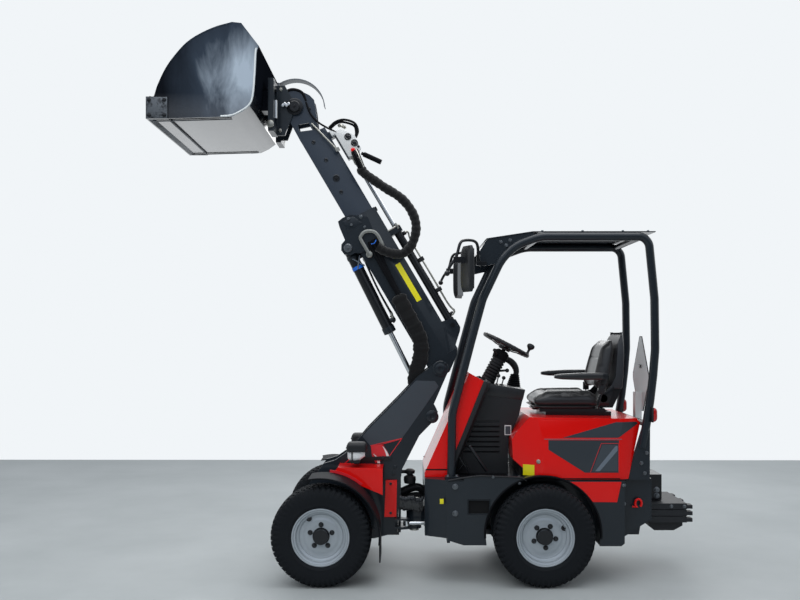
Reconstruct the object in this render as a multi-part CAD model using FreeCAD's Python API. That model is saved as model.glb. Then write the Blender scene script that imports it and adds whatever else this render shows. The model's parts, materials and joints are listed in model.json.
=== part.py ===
"""Mini wheel loader: one STEP file per named piece, millimetres, +Z up, +X to the bucket.

Pieces are drawn in the pivot frame, whose X = 0 is the centre joint's axis. At the
end each is moved by SHIFT_X, so that the whole stands with the bottom centre of its
bounding box on the origin.
"""
import math
import os

import FreeCAD
import Part

V = FreeCAD.Vector

# ---------------------------------------------------------------- driving dimensions
# wheels and running gear
WHEEL_R = 292.0            # 23 x 8.50-12 tyre, out to its tread
WHEEL_W = 216.0
RIM_R = 168.0              # rim flange
BEAD_R = 150.0
TRACK_HALF = 432.0
FRONT_X = 545.0            # front axle, from the centre joint
REAR_X = -749.0
AXLE_Z = 292.0
MOTOR_R = 84.0
SPINDLE_R = 30.0
NUT_PCD = 133.0
TYRE_FACETS = 36           # flats round a tyre
ARCH_R = 336.0             # rear wheel arches
GUARD_R = 338.0            # front mudguards
# plates and clearances
PLATE = 6.0                # sheet and side plates
FIT = 0.05                 # radial clearance of a running pin
SEAT = 0.3                 # gap left under a soft or loose-laid piece
JOINT_GAP = 5.0
PIN_R = 20.0
# centre joint
KNUCKLE = (270.0, 390.0)   # rear frame's knuckle, bottom and top
KNUCKLE_R = 50.0
LUG = 22.0                 # thickness of the front frame's joint lugs
SWIVEL_X = 28.0            # hose swivel above the centre joint
STEER_A = (-420.0, 135.0, 300.0)   # steering ram's pins, rear and front
STEER_F = (50.0, 150.0, 300.0)
# tower and boom
PLATE_IN = 90.0            # tower plates, inner and outer faces
PLATE_OUT = 110.0
BOOM_P = (-163.0, 1249.0)  # boom pivot (X, Z)
BOOM_PIN_R = 22.0
BOOM_ANGLE = 59.5          # above the horizontal, at rest
BOOM_HALF = 75.0
BOOM_WALL = 8.0
BOOM_N = (-65.0, 81.0, 158.0)    # across the boom: lower face, chamfer's corner, top face
BOOM_TOP_HALF = 38.0
INNER_HALF = 60.0
INNER_WALL = 6.0
INNER_N = (-32.0, 75.0, 143.0)
INNER_TOP_HALF = 34.0
OUTER_END = 1085.0         # along the boom from its pivot
INNER_S = (700.0, 1675.0)
TRAVEL = 500.0
LIFT_Q = (-110.0, 952.0)   # lift ram's lower pin (X, Z)
LIFT_SN = (939.0, -116.0)  # lift ram's upper pin, along the boom and across it
BUCKET_SN = (1870.0, 45.0)  # bucket's pivot
TELE_N = 205.0             # telescope ram's line above the boom
TELE_R = 26.0
TELE_BASE = 196.0
TELE_GLAND = 913.0
TELE_EYE = 1425.0
# bucket
BUCKET_HALF = 525.0
SKIN = 8.0
# rear frame, hood and canopy
PANEL_Y = 430.0
FRONT_Y = 350.0            # half-width of the rear frame's front face
DECK_Z = 608.0
REAR_FACE = -1416.0
TAIL = 14.0                # thickness of the tail plate
HOOD_TOP = 972.0
HOOD_HALF = 400.0
HOOD_WALL = 12.0
HOOD_FALL = 8.0            # how far the lid slopes down to its rear edge
COWL_HALF = 300.0
CONSOLE_HALF = 170.0
ROPS_Y = 350.0
ROPS_R = 25.0
ROOF_Z = 2042.0
ROOF_HALF = 358.0
ROOF_BEND = -700.0         # where the roof sheet starts to fall
ROOF_FRONT = (-430.0, 2026.0)
GUSSET_HALF = 4.0
MIRROR_C = (-306.0, 452.0, 1843.0)   # middle of the left mirror
MIRROR_TURN = 24.0
LOOP_R = 31.0              # braided hose bundle beside the boom
WHEEL_C = (-578.0, 1390.0)  # steering wheel's centre (X, Z)
WHEEL_TILT = 27.6
COLUMN_R = 45.0            # ribbed boot round the steering column
SHIFT_X = 71.5             # pivot frame to the part's frame

PIECES = {}

_ca = math.cos(math.radians(BOOM_ANGLE))
_sa = math.sin(math.radians(BOOM_ANGLE))


# ---------------------------------------------------------------- helpers
def keep(name, *shapes):
    """Store one piece under its node name; several solids make one compound."""
    PIECES[name] = shapes[0] if len(shapes) == 1 else Part.makeCompound(list(shapes))


def box(x0, x1, y0, y1, z0, z1):
    return Part.makeBox(x1 - x0, y1 - y0, z1 - z0, V(x0, y0, z0))


def rounded_box(x0, x1, y0, y1, z0, z1, r):
    """A box with all its edges rounded."""
    block = box(x0, x1, y0, y1, z0, z1)
    return block.makeFillet(r, block.Edges)


def softened(prism, r):
    """A prism along Y with the edges of its two ends rounded."""
    ends = (prism.BoundBox.YMin, prism.BoundBox.YMax)
    rims = [e for e in prism.Edges
            if any(all(abs(v.Y - y) < 0.01 for v in e.Vertexes) for y in ends)]
    return prism.makeFillet(r, rims)


def cyl(p0, p1, r):
    a, b = V(*p0), V(*p1)
    d = b.sub(a)
    return Part.makeCylinder(r, d.Length, a, d)


def ycyl(x, z, y0, y1, r):
    return Part.makeCylinder(r, y1 - y0, V(x, y0, z), V(0, 1, 0))


def zcyl(x, y, z0, z1, r):
    return Part.makeCylinder(r, z1 - z0, V(x, y, z0), V(0, 0, 1))


def face(points):
    return Part.Face(Part.makePolygon(points + [points[0]]))


def prism_y(points, y0, y1):
    """A prism of an (X, Z) outline from y0 to y1."""
    return face([V(x, y0, z) for x, z in points]).extrude(V(0, y1 - y0, 0))


def prism_x(points, x0, x1):
    """A prism of a (Y, Z) outline from x0 to x1."""
    return face([V(x0, y, z) for y, z in points]).extrude(V(x1 - x0, 0, 0))


def prism_z(points, z0, z1):
    return face([V(x, y, z0) for x, y in points]).extrude(V(0, 0, z1 - z0))


def fuse(*shapes):
    first, rest = shapes[0], list(shapes[1:])
    return first.fuse(rest).removeSplitter() if rest else first


def cut(shape, *tools):
    for tool in tools:
        shape = shape.cut(tool)
    return shape


def biggest(shape):
    """The largest solid that a cut has left."""
    return max(shape.Solids, key=lambda s: s.Volume)


def mirror_y(shape):
    return shape.mirror(V(0, 0, 0), V(0, 1, 0))


def both(shape):
    """A left-hand shape and its mirror image."""
    return [shape, mirror_y(shape)]


def bar(points, r):
    """A round bar through 3-D points, with ball corners."""
    parts = [cyl(a, b, r) for a, b in zip(points[:-1], points[1:])]
    parts += [Part.makeSphere(r, V(*p)) for p in points[1:-1]]
    return fuse(*parts)


def tube(points, r, bend):
    """A bent tube: straight runs through 3-D points, joined by arcs of radius `bend` or less."""
    pts = [V(*p) for p in points]
    edges, start = [], pts[0]
    for a, b, c in zip(pts[:-2], pts[1:-1], pts[2:]):
        u, w = a.sub(b), c.sub(b)
        room = 0.46 * min(u.Length, w.Length)
        u.normalize()
        w.normalize()
        half = u.getAngle(w) / 2
        back = min(bend / math.tan(half), room)
        turn = back * math.tan(half)
        inward = u.add(w)
        inward.normalize()
        first, last = b.add(V(u).multiply(back)), b.add(V(w).multiply(back))
        middle = b.add(inward.multiply(turn / math.sin(half) - turn))
        edges += [Part.makeLine(start, first), Part.Arc(first, middle, last).toShape()]
        start = last
    edges.append(Part.makeLine(start, pts[-1]))
    ring = Part.Wire(Part.makeCircle(r, pts[0], pts[1].sub(pts[0])))
    return Part.Wire(edges).makePipeShell([ring], True, False)


def ring_y(points, x, z):
    """A ring from (radius, y) points, about the Y axis through (x, z)."""
    return face([V(x + r, y, z) for r, y in points]).revolve(V(x, 0, z), V(0, 1, 0), 360)


def facet_ring_y(points, x, z, count):
    """A ring of flat facets from (radius, y) points, about the Y axis through (x, z)."""
    turns = []
    for i in range(count):
        a = 2 * math.pi * i / count
        turns.append([V(x + r * math.cos(a), y, z + r * math.sin(a)) for r, y in points])
    faces = []
    for i in range(count):
        here, there = turns[i], turns[(i + 1) % count]
        for j in range(len(points)):
            k = (j + 1) % len(points)
            faces.append(face([here[j], here[k], there[k], there[j]]))
    solid = Part.makeSolid(Part.makeShell(faces))
    if solid.Volume < 0:
        solid.reverse()
    return solid


def arc_points(cx, cz, r, a0, a1, count):
    return [(cx + r * math.cos(math.radians(a0 + (a1 - a0) * i / count)),
             cz + r * math.sin(math.radians(a0 + (a1 - a0) * i / count))) for i in range(count + 1)]


def arch_band(cx, cz, r0, r1, a0, a1, y0, y1):
    """A curved sheet between two radii."""
    def spot(r, a):
        return V(cx + r * math.cos(math.radians(a)), y0, cz + r * math.sin(math.radians(a)))
    middle = (a0 + a1) / 2
    edges = [Part.Arc(spot(r0, a0), spot(r0, middle), spot(r0, a1)).toShape(),
             Part.makeLine(spot(r0, a1), spot(r1, a1)),
             Part.Arc(spot(r1, a1), spot(r1, middle), spot(r1, a0)).toShape(),
             Part.makeLine(spot(r1, a0), spot(r0, a0))]
    return Part.Face(Part.Wire(edges)).extrude(V(0, y1 - y0, 0))


def polar(cx, cz, r, count, start=90.0):
    """Points spread evenly on a circle in the X-Z plane."""
    return [(cx + r * math.cos(math.radians(start + 360.0 * i / count)),
             cz + r * math.sin(math.radians(start + 360.0 * i / count))) for i in range(count)]


def along(a, b):
    """Unit direction and length from a to b, both (X, Z)."""
    dx, dz = b[0] - a[0], b[1] - a[1]
    d = math.hypot(dx, dz)
    return dx / d, dz / d, d


# the boom's own coordinates: s along it from the pivot, n across it, up and rearward
def boom_xz(s, n):
    return (BOOM_P[0] + s * _ca - n * _sa, BOOM_P[1] + s * _sa + n * _ca)


def boom_prism(points, y0, y1):
    return prism_y([boom_xz(s, n) for s, n in points], y0, y1)


def boom_section(points_ny, s0, s1):
    """A solid of an (n, y) section drawn from s0 to s1 along the boom."""
    pts = []
    for n, y in points_ny:
        x, z = boom_xz(s0, n)
        pts.append(V(x, y, z))
    return face(pts).extrude(V((s1 - s0) * _ca, 0, (s1 - s0) * _sa))


def boom_ycyl(s, n, y0, y1, r):
    x, z = boom_xz(s, n)
    return ycyl(x, z, y0, y1, r)


def boom_cyl(s0, s1, n, y, r):
    a, b = boom_xz(s0, n), boom_xz(s1, n)
    return cyl((a[0], y, a[1]), (b[0], y, b[1]), r)


def hexagon(n, half, top_half, inset=0.0):
    """Boom section: flat sides, chamfered upper corners. `inset` is the wall left outside it."""
    low, corner, top = n[0] + inset, n[1] - inset / 2, n[2] - inset
    half, top_half = half - inset, top_half - inset / 2
    return [(low, -half), (corner, -half), (top, -top_half), (top, top_half), (corner, half), (low, half)]


# ---------------------------------------------------------------- wheels
def tyre_shape(x, side):
    """One tyre on its bead seats; `side` is +1 on the left."""
    h = WHEEL_W / 2
    flat = math.cos(math.pi / TYRE_FACETS)      # a facet's middle lies this much further in
    half = [((BEAD_R + 0.3) / flat, 81), ((BEAD_R + 6.6) / flat, 88), ((RIM_R + 0.4) / flat, 90),
            (RIM_R + 2, 97), (196, 104), (232, h), (262, 106), (284, 92), (WHEEL_R, 58)]
    prof = half + [(r, -y) for r, y in reversed(half)]
    return facet_ring_y([(r, TRACK_HALF * side + y) for r, y in prof], x, AXLE_Z, TYRE_FACETS)


def rim_shape(x, side):
    """One pressed wheel: flanges, bead seats, drop centre and a dished disc with its hub hole."""
    c = TRACK_HALF * side
    prof = [(RIM_R, -95), (RIM_R, -91), (156, -89), (BEAD_R, -82), (BEAD_R, -45), (128, -30), (128, 30),
            (BEAD_R, 45), (BEAD_R, 82), (156, 89), (RIM_R, 91), (RIM_R, 95), (152, 93), (146, 84),
            (146, 49), (124, 36), (104, 43), (62, 43), (56, 60), (SPINDLE_R + FIT, 60),
            (SPINDLE_R + FIT, 34), (100, 34), (110, 28), (122, 20), (122, -30), (146, -46), (146, -84),
            (152, -93)]
    rim = ring_y([(r, c + side * y) for r, y in prof], x, AXLE_Z)
    y0, y1 = sorted((c + side * 42, c + side * 58))
    return fuse(rim, *[ycyl(px, pz, y0, y1, 14) for px, pz in polar(x, AXLE_Z, NUT_PCD / 2, 5)])


def motor_shape(x, side):
    """One hub motor, from the frame's side box out into the rim, with its spindle and cap."""
    def step(y0, y1, r):
        lo, hi = sorted((y0 * side, y1 * side))
        return ycyl(x, AXLE_Z, lo, hi, r)
    seat = TRACK_HALF + 28
    return fuse(step(250, 290, 95), step(290, 400, MOTOR_R), step(400, seat, 56),
                step(seat, seat + 38, SPINDLE_R), step(seat + 38, seat + 56, 44))


def wheels():
    for tag, x in (("front", FRONT_X), ("rear", REAR_X)):
        for word, side in (("left", 1), ("right", -1)):
            keep("%s_%s_tyre" % (tag, word), tyre_shape(x, side))
            keep("%s_%s_rim" % (tag, word), rim_shape(x, side))
        keep("%s_wheel_motors" % tag, motor_shape(x, 1), motor_shape(x, -1))


# ---------------------------------------------------------------- rear frame
def rear_chassis():
    """Box spine with the joint's knuckle, the front box, the deck and the tail."""
    k0, k1 = KNUCKLE
    spine = fuse(box(-1380, -170, -150, 150, 232, 420),
                 prism_z([(-171, -150), (-60, -62), (-40, -48), (-40, 48), (-60, 62), (-171, 150)], k0, k1),
                 zcyl(0, 0, k0, k1, KNUCKLE_R), box(-60, 0, -KNUCKLE_R, KNUCKLE_R, k0, k1))
    motor_boxes = both(box(REAR_X - 95, REAR_X + 95, 149, 250, 220, 390))
    inner = PANEL_Y - PLATE
    front = prism_z([(-59, -FRONT_Y), (-59, FRONT_Y), (-187, inner), (-205, inner), (-205, -inner),
                     (-187, -inner)], 268, DECK_Z)
    hollow = prism_z([(-67, -FRONT_Y + 8), (-67, FRONT_Y - 8), (-190, inner - 8), (-197, inner - 8),
                      (-197, -inner + 8), (-190, -inner + 8)], 260, DECK_Z - 8)
    cross = box(-205, -187, -inner, inner, 240, 601)
    hoses = box(-210, -50, -75, 75, 421, 545)
    deck = box(-600, -187, -inner, inner, DECK_Z - 8, DECK_Z)
    deck_mid = box(-1380, -599, -250, 250, DECK_Z - 8, DECK_Z)
    ribs = both(box(-1380, -204, 142, 150, 419, DECK_Z - 7))
    tail = fuse(box(REAR_FACE, REAR_FACE + TAIL, -300, 300, 348, 600),
                box(REAR_FACE + TAIL - 1, -1379, -150, 150, 348, 600),
                prism_y([(-1379, 232), (-1379, 600), (-1391, 600), (-1391, 300)], -150, 150))
    s = fuse(spine, *motor_boxes, cut(front, hollow), cross, deck, deck_mid, *ribs, tail)
    s = cut(s, hoses, zcyl(0, 0, k0 - 10, k1 + 10, PIN_R + FIT))
    ax, ay, az = STEER_A
    s = cut(s, box(ax - 50, -42, 78, 240, az - 38, az + 38))
    keep("rear_chassis", fuse(s, zcyl(ax, ay, az - 40, az + 40, 12)))


def side_panels():
    """Foot-well side, wheel arch and tail corner of each side."""
    inner = PANEL_Y - PLATE
    rise = math.degrees(math.acos((-640 - REAR_X) / ARCH_R))
    arc = arc_points(REAR_X, AXLE_Z, ARCH_R, rise, -10, 12)
    front = prism_y([(-285, 228), (-285, 619), (-378, 630), (-622, 620), (-640, 612)] + arc
                    + [(arc[-1][0], 228)], inner, PANEL_Y)
    toe = prism_y([(-187, 258), (-187, 601), (-286, 601), (-286, 228)], inner, PANEL_Y)
    step = box(-440, -308, inner - 1, PANEL_Y + 1, 408, 496)
    band = arch_band(REAR_X, AXLE_Z, ARCH_R, ARCH_R + PLATE, 191, -10, 268, PANEL_Y)
    arc2 = arc_points(REAR_X, AXLE_Z, ARCH_R, 100, 191, 8)
    rear = prism_y(arc2 + [(arc2[-1][0], 224), (-1206, 224), (-1225, 240), (-1225, 606),
                           (REAR_X - 60, 606)], inner, PANEL_Y)
    back = REAR_FACE + TAIL
    tail = prism_y([(-1206, 224), (-1212, 224), (back, 348), (back, 600), (-1206, 600)], 294, 300)
    web = box(-1225, -1219, 294, inner + 1, 240, 600)
    shape = fuse(cut(fuse(front, toe), step), band, rear, tail, web)
    keep("side_panels", *both(shape))


def hood():
    """Engine hood: a hollow shell, its cheeks and corners folded in."""
    low = DECK_Z + SEAT
    side = [(-710, low), (-587, 716), (-581, 831), (-610, 884), (-679, HOOD_TOP),
            (-1320, HOOD_TOP - HOOD_FALL), (-1342, 936), (-1262, low)]
    plan = [(-560, -290), (-560, 290), (-751, HOOD_HALF), (-1200, HOOD_HALF), (-1345, 320), (-1345, -320),
            (-1200, -HOOD_HALF), (-751, -HOOD_HALF)]
    front = [(-HOOD_HALF, DECK_Z), (-HOOD_HALF, 852), (-HOOD_HALF + 18, HOOD_TOP + 1),
             (HOOD_HALF - 18, HOOD_TOP + 1), (HOOD_HALF, 852), (HOOD_HALF, DECK_Z)]
    shell = prism_y(side, -HOOD_HALF, HOOD_HALF).common(prism_z(plan, 600, 1000)).common(prism_x(front,
                                                                                                 -1400,
                                                                                                 -500))
    w = HOOD_WALL
    side_in = [(-716, 590), (-599, 722), (-593, 829), (-621, 879), (-684, HOOD_TOP - w),
               (-1312, HOOD_TOP - w - 8), (-1329, 936), (-1246, 590)]
    plan_in = [(-575, -280), (-575, 280), (-754, HOOD_HALF - w), (-1196, HOOD_HALF - w), (-1332, 312),
               (-1332, -312), (-1196, -HOOD_HALF + w), (-754, -HOOD_HALF + w)]
    hollow = prism_y(side_in, -HOOD_HALF + w + 4, HOOD_HALF - w - 4).common(prism_z(plan_in, 580, 1000))
    arches = ycyl(REAR_X, AXLE_Z, -PANEL_Y, PANEL_Y, ARCH_R + PLATE + SEAT)
    keep("engine_hood", cut(shell, hollow, arches))
    keep("engine", fuse(box(-1180, -780, -230, 230, DECK_Z + SEAT, 860),
                        box(-1150, -820, -180, 180, 860, 920)))


def seat():
    y = 225
    lid = [HOOD_TOP + SEAT - HOOD_FALL * (-679 - x) / 641 for x in (-800, -1200)]
    base = fuse(box(-1160, -760, -200, 200, 990, 1010),
                prism_y([(-800, lid[0]), (-800, 991), (-1200, 991), (-1200, lid[1])], -190, 190),
                prism_y([(-1140, 1009), (-1225, 1009), (-1285, 1130), (-1190, 1130)], -120, 120))
    keep("seat_base", base)
    cushion = prism_y([(-1120, 1010 + SEAT), (-735, 1010 + SEAT), (-722, 1060), (-735, 1110),
                       (-900, 1128), (-1060, 1118), (-1120, 1090)], -y, y)
    keep("seat_cushion", softened(cushion, 20))
    back = prism_y([(-1185, 1130 + SEAT), (-1105, 1130 + SEAT), (-1086, 1160), (-1096, 1250),
                    (-1124, 1395), (-1150, 1428), (-1205, 1436), (-1240, 1400), (-1225, 1200)], -y, y)
    shell = prism_y([(-1186, 1130 + SEAT), (-1225.5, 1200), (-1240.3, 1400), (-1262, 1436), (-1287, 1481),
                     (-1300, 1450), (-1300, 1332), (-1290, 1130 + SEAT)], -y + 15, y - 15)
    back = softened(back, 20)
    keep("seat_back", back)
    keep("seat_shell", biggest(cut(shell, back)))
    arm = fuse(prism_y([(-1135, 1184), (-1135, 1232), (-860, 1226), (-835, 1212), (-870, 1192),
                        (-960, 1182)], 240, 300), box(-1180, -1134, y, 300, 1186, 1230))
    keep("armrests", *both(arm))


# ---------------------------------------------------------------- console and controls
def cowl_solid():
    """Outer shape of the red shield in front of the operator's feet."""
    return prism_y([(-59, DECK_Z + SEAT), (-59, 632), (-327, 1231), (-417, 1180), (-226, 703),
                    (-210, DECK_Z + SEAT)], -COWL_HALF, COWL_HALF)


def console_solid():
    """The black middle console behind the shield."""
    return prism_y([(-150, DECK_Z + SEAT), (-226, 703), (-417, 1180), (-495, 1150), (-676, 1123),
                    (-640, 965), (-602, 884), (-574, 832), (-574, DECK_Z + SEAT)], -CONSOLE_HALF,
                   CONSOLE_HALF)


def steer_axis(t):
    """A point t along the steering column's axis, from the wheel's centre."""
    a = math.radians(WHEEL_TILT)
    return (WHEEL_C[0] - math.sin(a) * t, 0, WHEEL_C[1] + math.cos(a) * t)


def console():
    hollow = prism_y([(-90, 600), (-90, 625), (-332, 1216), (-404, 1177), (-212, 700), (-196, 600)],
                     -COWL_HALF + 10, COWL_HALF - 10)
    cowl, middle = cowl_solid(), console_solid()
    keep("console_cowl", cut(cowl, hollow))
    grip = cut(middle, cowl)
    slots = [box(-520, -300, y, y + 10, z, z + 14) for z in range(735, 925, 31)
             for y in (CONSOLE_HALF - 8, -CONSOLE_HALF - 2)]
    keep("console", cut(grip, *slots))
    boots = [cyl(steer_axis(low), steer_axis(low + 12), COLUMN_R) for low in range(-322, -100, 20)]
    column = fuse(cyl(steer_axis(-330), steer_axis(-86), COLUMN_R - 6), *boots,
                  cyl(steer_axis(-87), steer_axis(-66), 30), cyl(steer_axis(-67), steer_axis(-22), 12))
    keep("steering_column", biggest(cut(column, cowl, middle)))
    lever = fuse(tube([(-640, 0, 1130), (-660, 0, 1200), (-622, 0, 1288), (-588, 0, 1308)], 13, 60),
                 zcyl(-642, 0, 1100, 1160, 30))
    lever.translate(V(0, -135, 0))
    small = bar([(-505, 120, 1130), (-520, 120, 1185)], 7)
    pedal = prism_y([(-330, DECK_Z + SEAT), (-320, DECK_Z + SEAT), (-262, 740), (-272, 740)], 200, 270)
    keep("controls", biggest(cut(lever, middle)), biggest(cut(small, middle)), pedal)


def steering_wheel():
    a = math.radians(WHEEL_TILT)
    axis = V(-math.sin(a), 0, math.cos(a))
    centre = V(WHEEL_C[0], 0, WHEEL_C[1])
    rim = Part.makeTorus(148, 12, centre, axis)
    hub = cyl(steer_axis(-60), steer_axis(-4), 28)
    across = V(math.cos(a), 0, math.sin(a))
    spokes = []
    for turn in (90, 210, 330):
        w = V(across).multiply(math.cos(math.radians(turn))).add(V(0, math.sin(math.radians(turn)), 0))
        spokes.append(cyl(steer_axis(-25), tuple(centre.add(w.multiply(148))), 8))
    knob = V(across).multiply(-math.cos(math.radians(25))).add(V(0, math.sin(math.radians(25)),
                                                                 0)).multiply(148)
    foot = centre.add(knob)
    spinner = fuse(cyl(tuple(foot), tuple(foot.add(V(axis).multiply(40))), 8),
                   cyl(tuple(foot.add(V(axis).multiply(38))), tuple(foot.add(V(axis).multiply(66))), 22))
    wheel = fuse(rim, hub, *spokes, spinner)
    keep("steering_wheel", cut(wheel, cyl(steer_axis(-61), steer_axis(-21.9), 12 + FIT)))


# ---------------------------------------------------------------- canopy
def hoop(y):
    """One canopy hoop, from its foot plate over the seat to its tail bracket."""
    line = [(-215, 620), (-222, 991), (-338, 1436), (-403, 1674), (-510, 1899), (-593, 1988),
            (-741, ROOF_Z), (-1350, ROOF_Z), (-1388, 2004), (-1420, 1674), (-1424, 1371), (-1412, 1220),
            (-1394, 1068), (-1370, 916), (-1345, 790)]
    foot = box(-262, -178, y - 40, y + 40, DECK_Z, DECK_Z + 14)
    tail_plate = prism_y([(-1352, 930), (-1392, 930), (-1390, 601), (-1264, 601), (-1300, 760)], y - 10,
                         y + 10)
    gusset = prism_y([(-390, 1861), (-382, 1953), ROOF_FRONT, (ROOF_BEND, ROOF_Z + ROPS_R), (-720, 2036),
                      (-593, 1985), (-500, 1885)], y - GUSSET_HALF, y + GUSSET_HALF)
    return fuse(tube([(x, y, z) for x, z in line], ROPS_R, 260), foot, tail_plate, gusset)


def mirror(side):
    """One mirror: a rounded shell on a bent arm, hinged on the gusset's front corner."""
    x, y, z = MIRROR_C
    face = ROPS_Y + GUSSET_HALF
    shell = box(-14, 22, -66, 66, -135, 135)
    shell = shell.makeFillet(13, [e for e in shell.Edges if abs(e.tangentAt(e.FirstParameter).z) > 0.9])
    shell.rotate(V(0, 0, 0), V(0, 0, 1), MIRROR_TURN)
    shell.translate(V(x, y, z))
    hinge = box(-424, -362, face, face + 24, 1868, 1892)
    arm = tube([(-372, face + 12, 1880), (-372, face + 14, 1975), (-350, 386, 2011), (-290, 430, 2011),
                (-262, 452, 1990), (-240, 462, 1915), (-205, 466, 1860), (-186, 467, 1822)], 9, 30)
    clamp = box(x + 10, -222, 448, 474, 1876, 1912)
    knob = Part.makeSphere(17, V(-186, 467, 1816))
    made = fuse(shell, hinge, arm, clamp, knob)
    return made if side > 0 else mirror_y(made)


def canopy():
    hood_solid = PIECES["engine_hood"]
    panels = PIECES["side_panels"]
    left, right = [cut(hoop(y), hood_solid, panels) for y in (ROPS_Y, -ROPS_Y)]
    left, right = biggest(left), biggest(right)
    keep("left_hoop", left)
    keep("right_hoop", right)
    bars = [biggest(cut(cyl((x, -ROPS_Y, z), (x, ROPS_Y, z), 18), left, right)) for x,
            z in ((-741, ROOF_Z), (-1350, ROOF_Z), (-1372, 930))]
    keep("canopy_bars", *bars)
    low = ROOF_Z + ROPS_R
    x, z = ROOF_FRONT
    sheet = prism_y([(-1425, low), (ROOF_BEND, low), (x, z), (x + 6, z + 5), (ROOF_BEND, low + PLATE),
                     (-1425, low + PLATE)], -ROOF_HALF, ROOF_HALF)
    inside = ROPS_Y - GUSSET_HALF - SEAT
    visor = prism_y([(x, z + 2), (x - 4, z - 2), (-387, 1953), (-382, 1953)], -inside, inside)
    keep("roof_panel", fuse(sheet, visor))
    keep("mirrors", *[cut(mirror(side), left, right) for side in (1, -1)])


def tail():
    """Hitch block, weights, lamps and the blank plate behind the seat."""
    x = REAR_FACE
    keep("rear_hitch", fuse(box(x - 114, x, -110, 110, 437, 595), box(x - 70, x - 10, -60, 60, 400, 438)))
    slabs = [box(x - 240, x - 4, -210, 210, z, z + 36) for z in (318, 358, 398)]
    core = box(x - 200, x - 20, -170, 170, 312, 434)
    keel = prism_y([(x - 30, 320), (x - 30, 280), (x - 60, 256), (x - 180, 256), (x - 234, 285),
                    (x - 234, 320)], -140, 140)
    teeth = [box(x - 274, x - 238, y, y + 60, z + 4, z + 26) for z in (318, 358, 398)
             for y in (-210, -30, 150)]
    weights = fuse(*slabs, core, keel, *teeth)
    keep("rear_weights", cut(weights, PIECES["rear_hitch"]))
    lamp = rounded_box(-1428, -1396, 330, 405, 943, 1033, 9)
    keep("rear_lamps", *[biggest(cut(s, PIECES["left_hoop"], PIECES["right_hoop"])) for s in both(lamp)])
    outline = [(-24, 1450), (24, 1450), (190, 1212), (190, 1180), (60, 985), (-60, 985), (-190, 1180),
               (-190, 1212)]
    sign = prism_x(outline, -1432, -1428)
    stay = box(-1428, -1388, -30, 30, 915, 1100)
    keep("rear_plate", cut(fuse(sign, stay), PIECES["canopy_bars"]))


# ---------------------------------------------------------------- front frame
def tower_outline():
    """Side view of one tower plate, from the boom's pivot down to the joint lugs."""
    px, pz = BOOM_P
    return arc_points(px, pz, 50, 215, 45, 8) + [(-19, 1200), (97, 1076), (296, 874), (407, 741),
                                                 (494, 682), (562, 662), (690, 480), (700, 260),
                                                 (640, 200), (250, 197), (109, 234), (103, 290),
                                                 (97, 487), (75, 629), (-30, 834), (-138, 945),
                                                 (-145, 983), (-120, 1029)]


def front_frame():
    px, pz = BOOM_P
    qx, qz = LIFT_Q
    plate = cut(prism_y(tower_outline(), PLATE_IN, PLATE_OUT), ycyl(px, pz, 80, 120, BOOM_PIN_R))
    plate = fuse(plate, ycyl(qx, qz, 35, PLATE_IN + 1, PIN_R),
                 box(FRONT_X - 95, FRONT_X + 95, PLATE_OUT - 1, 250, 200, 385))
    floor = box(95, 500, -PLATE_IN - 2, PLATE_IN + 2, 215, 231)
    wall = box(84, 100, -PLATE_IN - 2, PLATE_IN + 2, 231, 620)
    lugs = []
    for z0 in (KNUCKLE[1] + JOINT_GAP, KNUCKLE[0] - JOINT_GAP - LUG):
        arm = fuse(prism_z([(104, -85), (104, 85), (10, 44), (10, -44)], z0, z0 + LUG),
                   zcyl(0, 0, z0, z0 + LUG, 45))
        lugs.append(cut(arm, zcyl(0, 0, z0 - 1, z0 + LUG + 1, PIN_R)))
    fx, fy, fz = STEER_F
    ears = [fuse(prism_z([(120, 95), (120, 175), (fx - 4, fy + 22), (fx - 12, fy - 20)], z0, z0 + 10),
                 zcyl(fx, fy, z0, z0 + 10, 22)) for z0 in (fz + 20, fz - 30)]
    profile = [(0, 520), (18, 520), (34, 524), (38, 546), (36, 564), (22, 572), (16, 580), (30, 586),
               (32, 602), (18, 612), (0, 612)]
    swivel = face([V(SWIVEL_X + r, 0, z) for r, z in profile]).revolve(V(SWIVEL_X, 0, 0), V(0, 0, 1), 360)
    stay = cyl((SWIVEL_X, 0, 595), (86, 0, 595), 10)
    keep("front_frame", fuse(*both(plate), floor, wall, *lugs, *ears, swivel, stay))
    top, low = KNUCKLE[1] + JOINT_GAP + LUG, KNUCKLE[0] - JOINT_GAP - LUG
    keep("centre_pin", fuse(zcyl(0, 0, low - 14, top + 1, PIN_R), zcyl(0, 0, top, top + 14, 32),
                            zcyl(0, 0, low - 14, low, 30)))
    keep("boom_pin", fuse(ycyl(px, pz, -PLATE_OUT - 4, PLATE_OUT + 4, BOOM_PIN_R),
                          ycyl(px, pz, PLATE_OUT, PLATE_OUT + 10, 30),
                          ycyl(px, pz, -PLATE_OUT - 10, -PLATE_OUT, 30)))


def mudguards():
    """Front mudguards with their red panels, and the red covers over the tower's foot."""
    r = GUARD_R
    band = arch_band(FRONT_X, AXLE_Z, r, r + PLATE, 78, 186, 290, 540)
    flap = box(FRONT_X - r - 8, FRONT_X - r + 0.5, 300, 530, 150, 270)
    keep("mudguards", *both(fuse(band, flap)))
    wheel = ycyl(FRONT_X, AXLE_Z, 100, 560, r + PLATE)
    cheek = prism_y([(192, 500), (192, 659), (462, 665), (492, 625)], 300, 306)
    shelf = prism_y([(192, 650), (192, 659), (462, 665), (462, 656)], PLATE_OUT, 301)
    keep("fender_panels", *both(cut(fuse(cheek, shelf), wheel)))
    cover = prism_y([(112, 335), (108, 560), (178, 560), (186, 335)], PLATE_OUT, PLATE_OUT + 26)
    keep("tower_covers", *both(cover))


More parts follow.
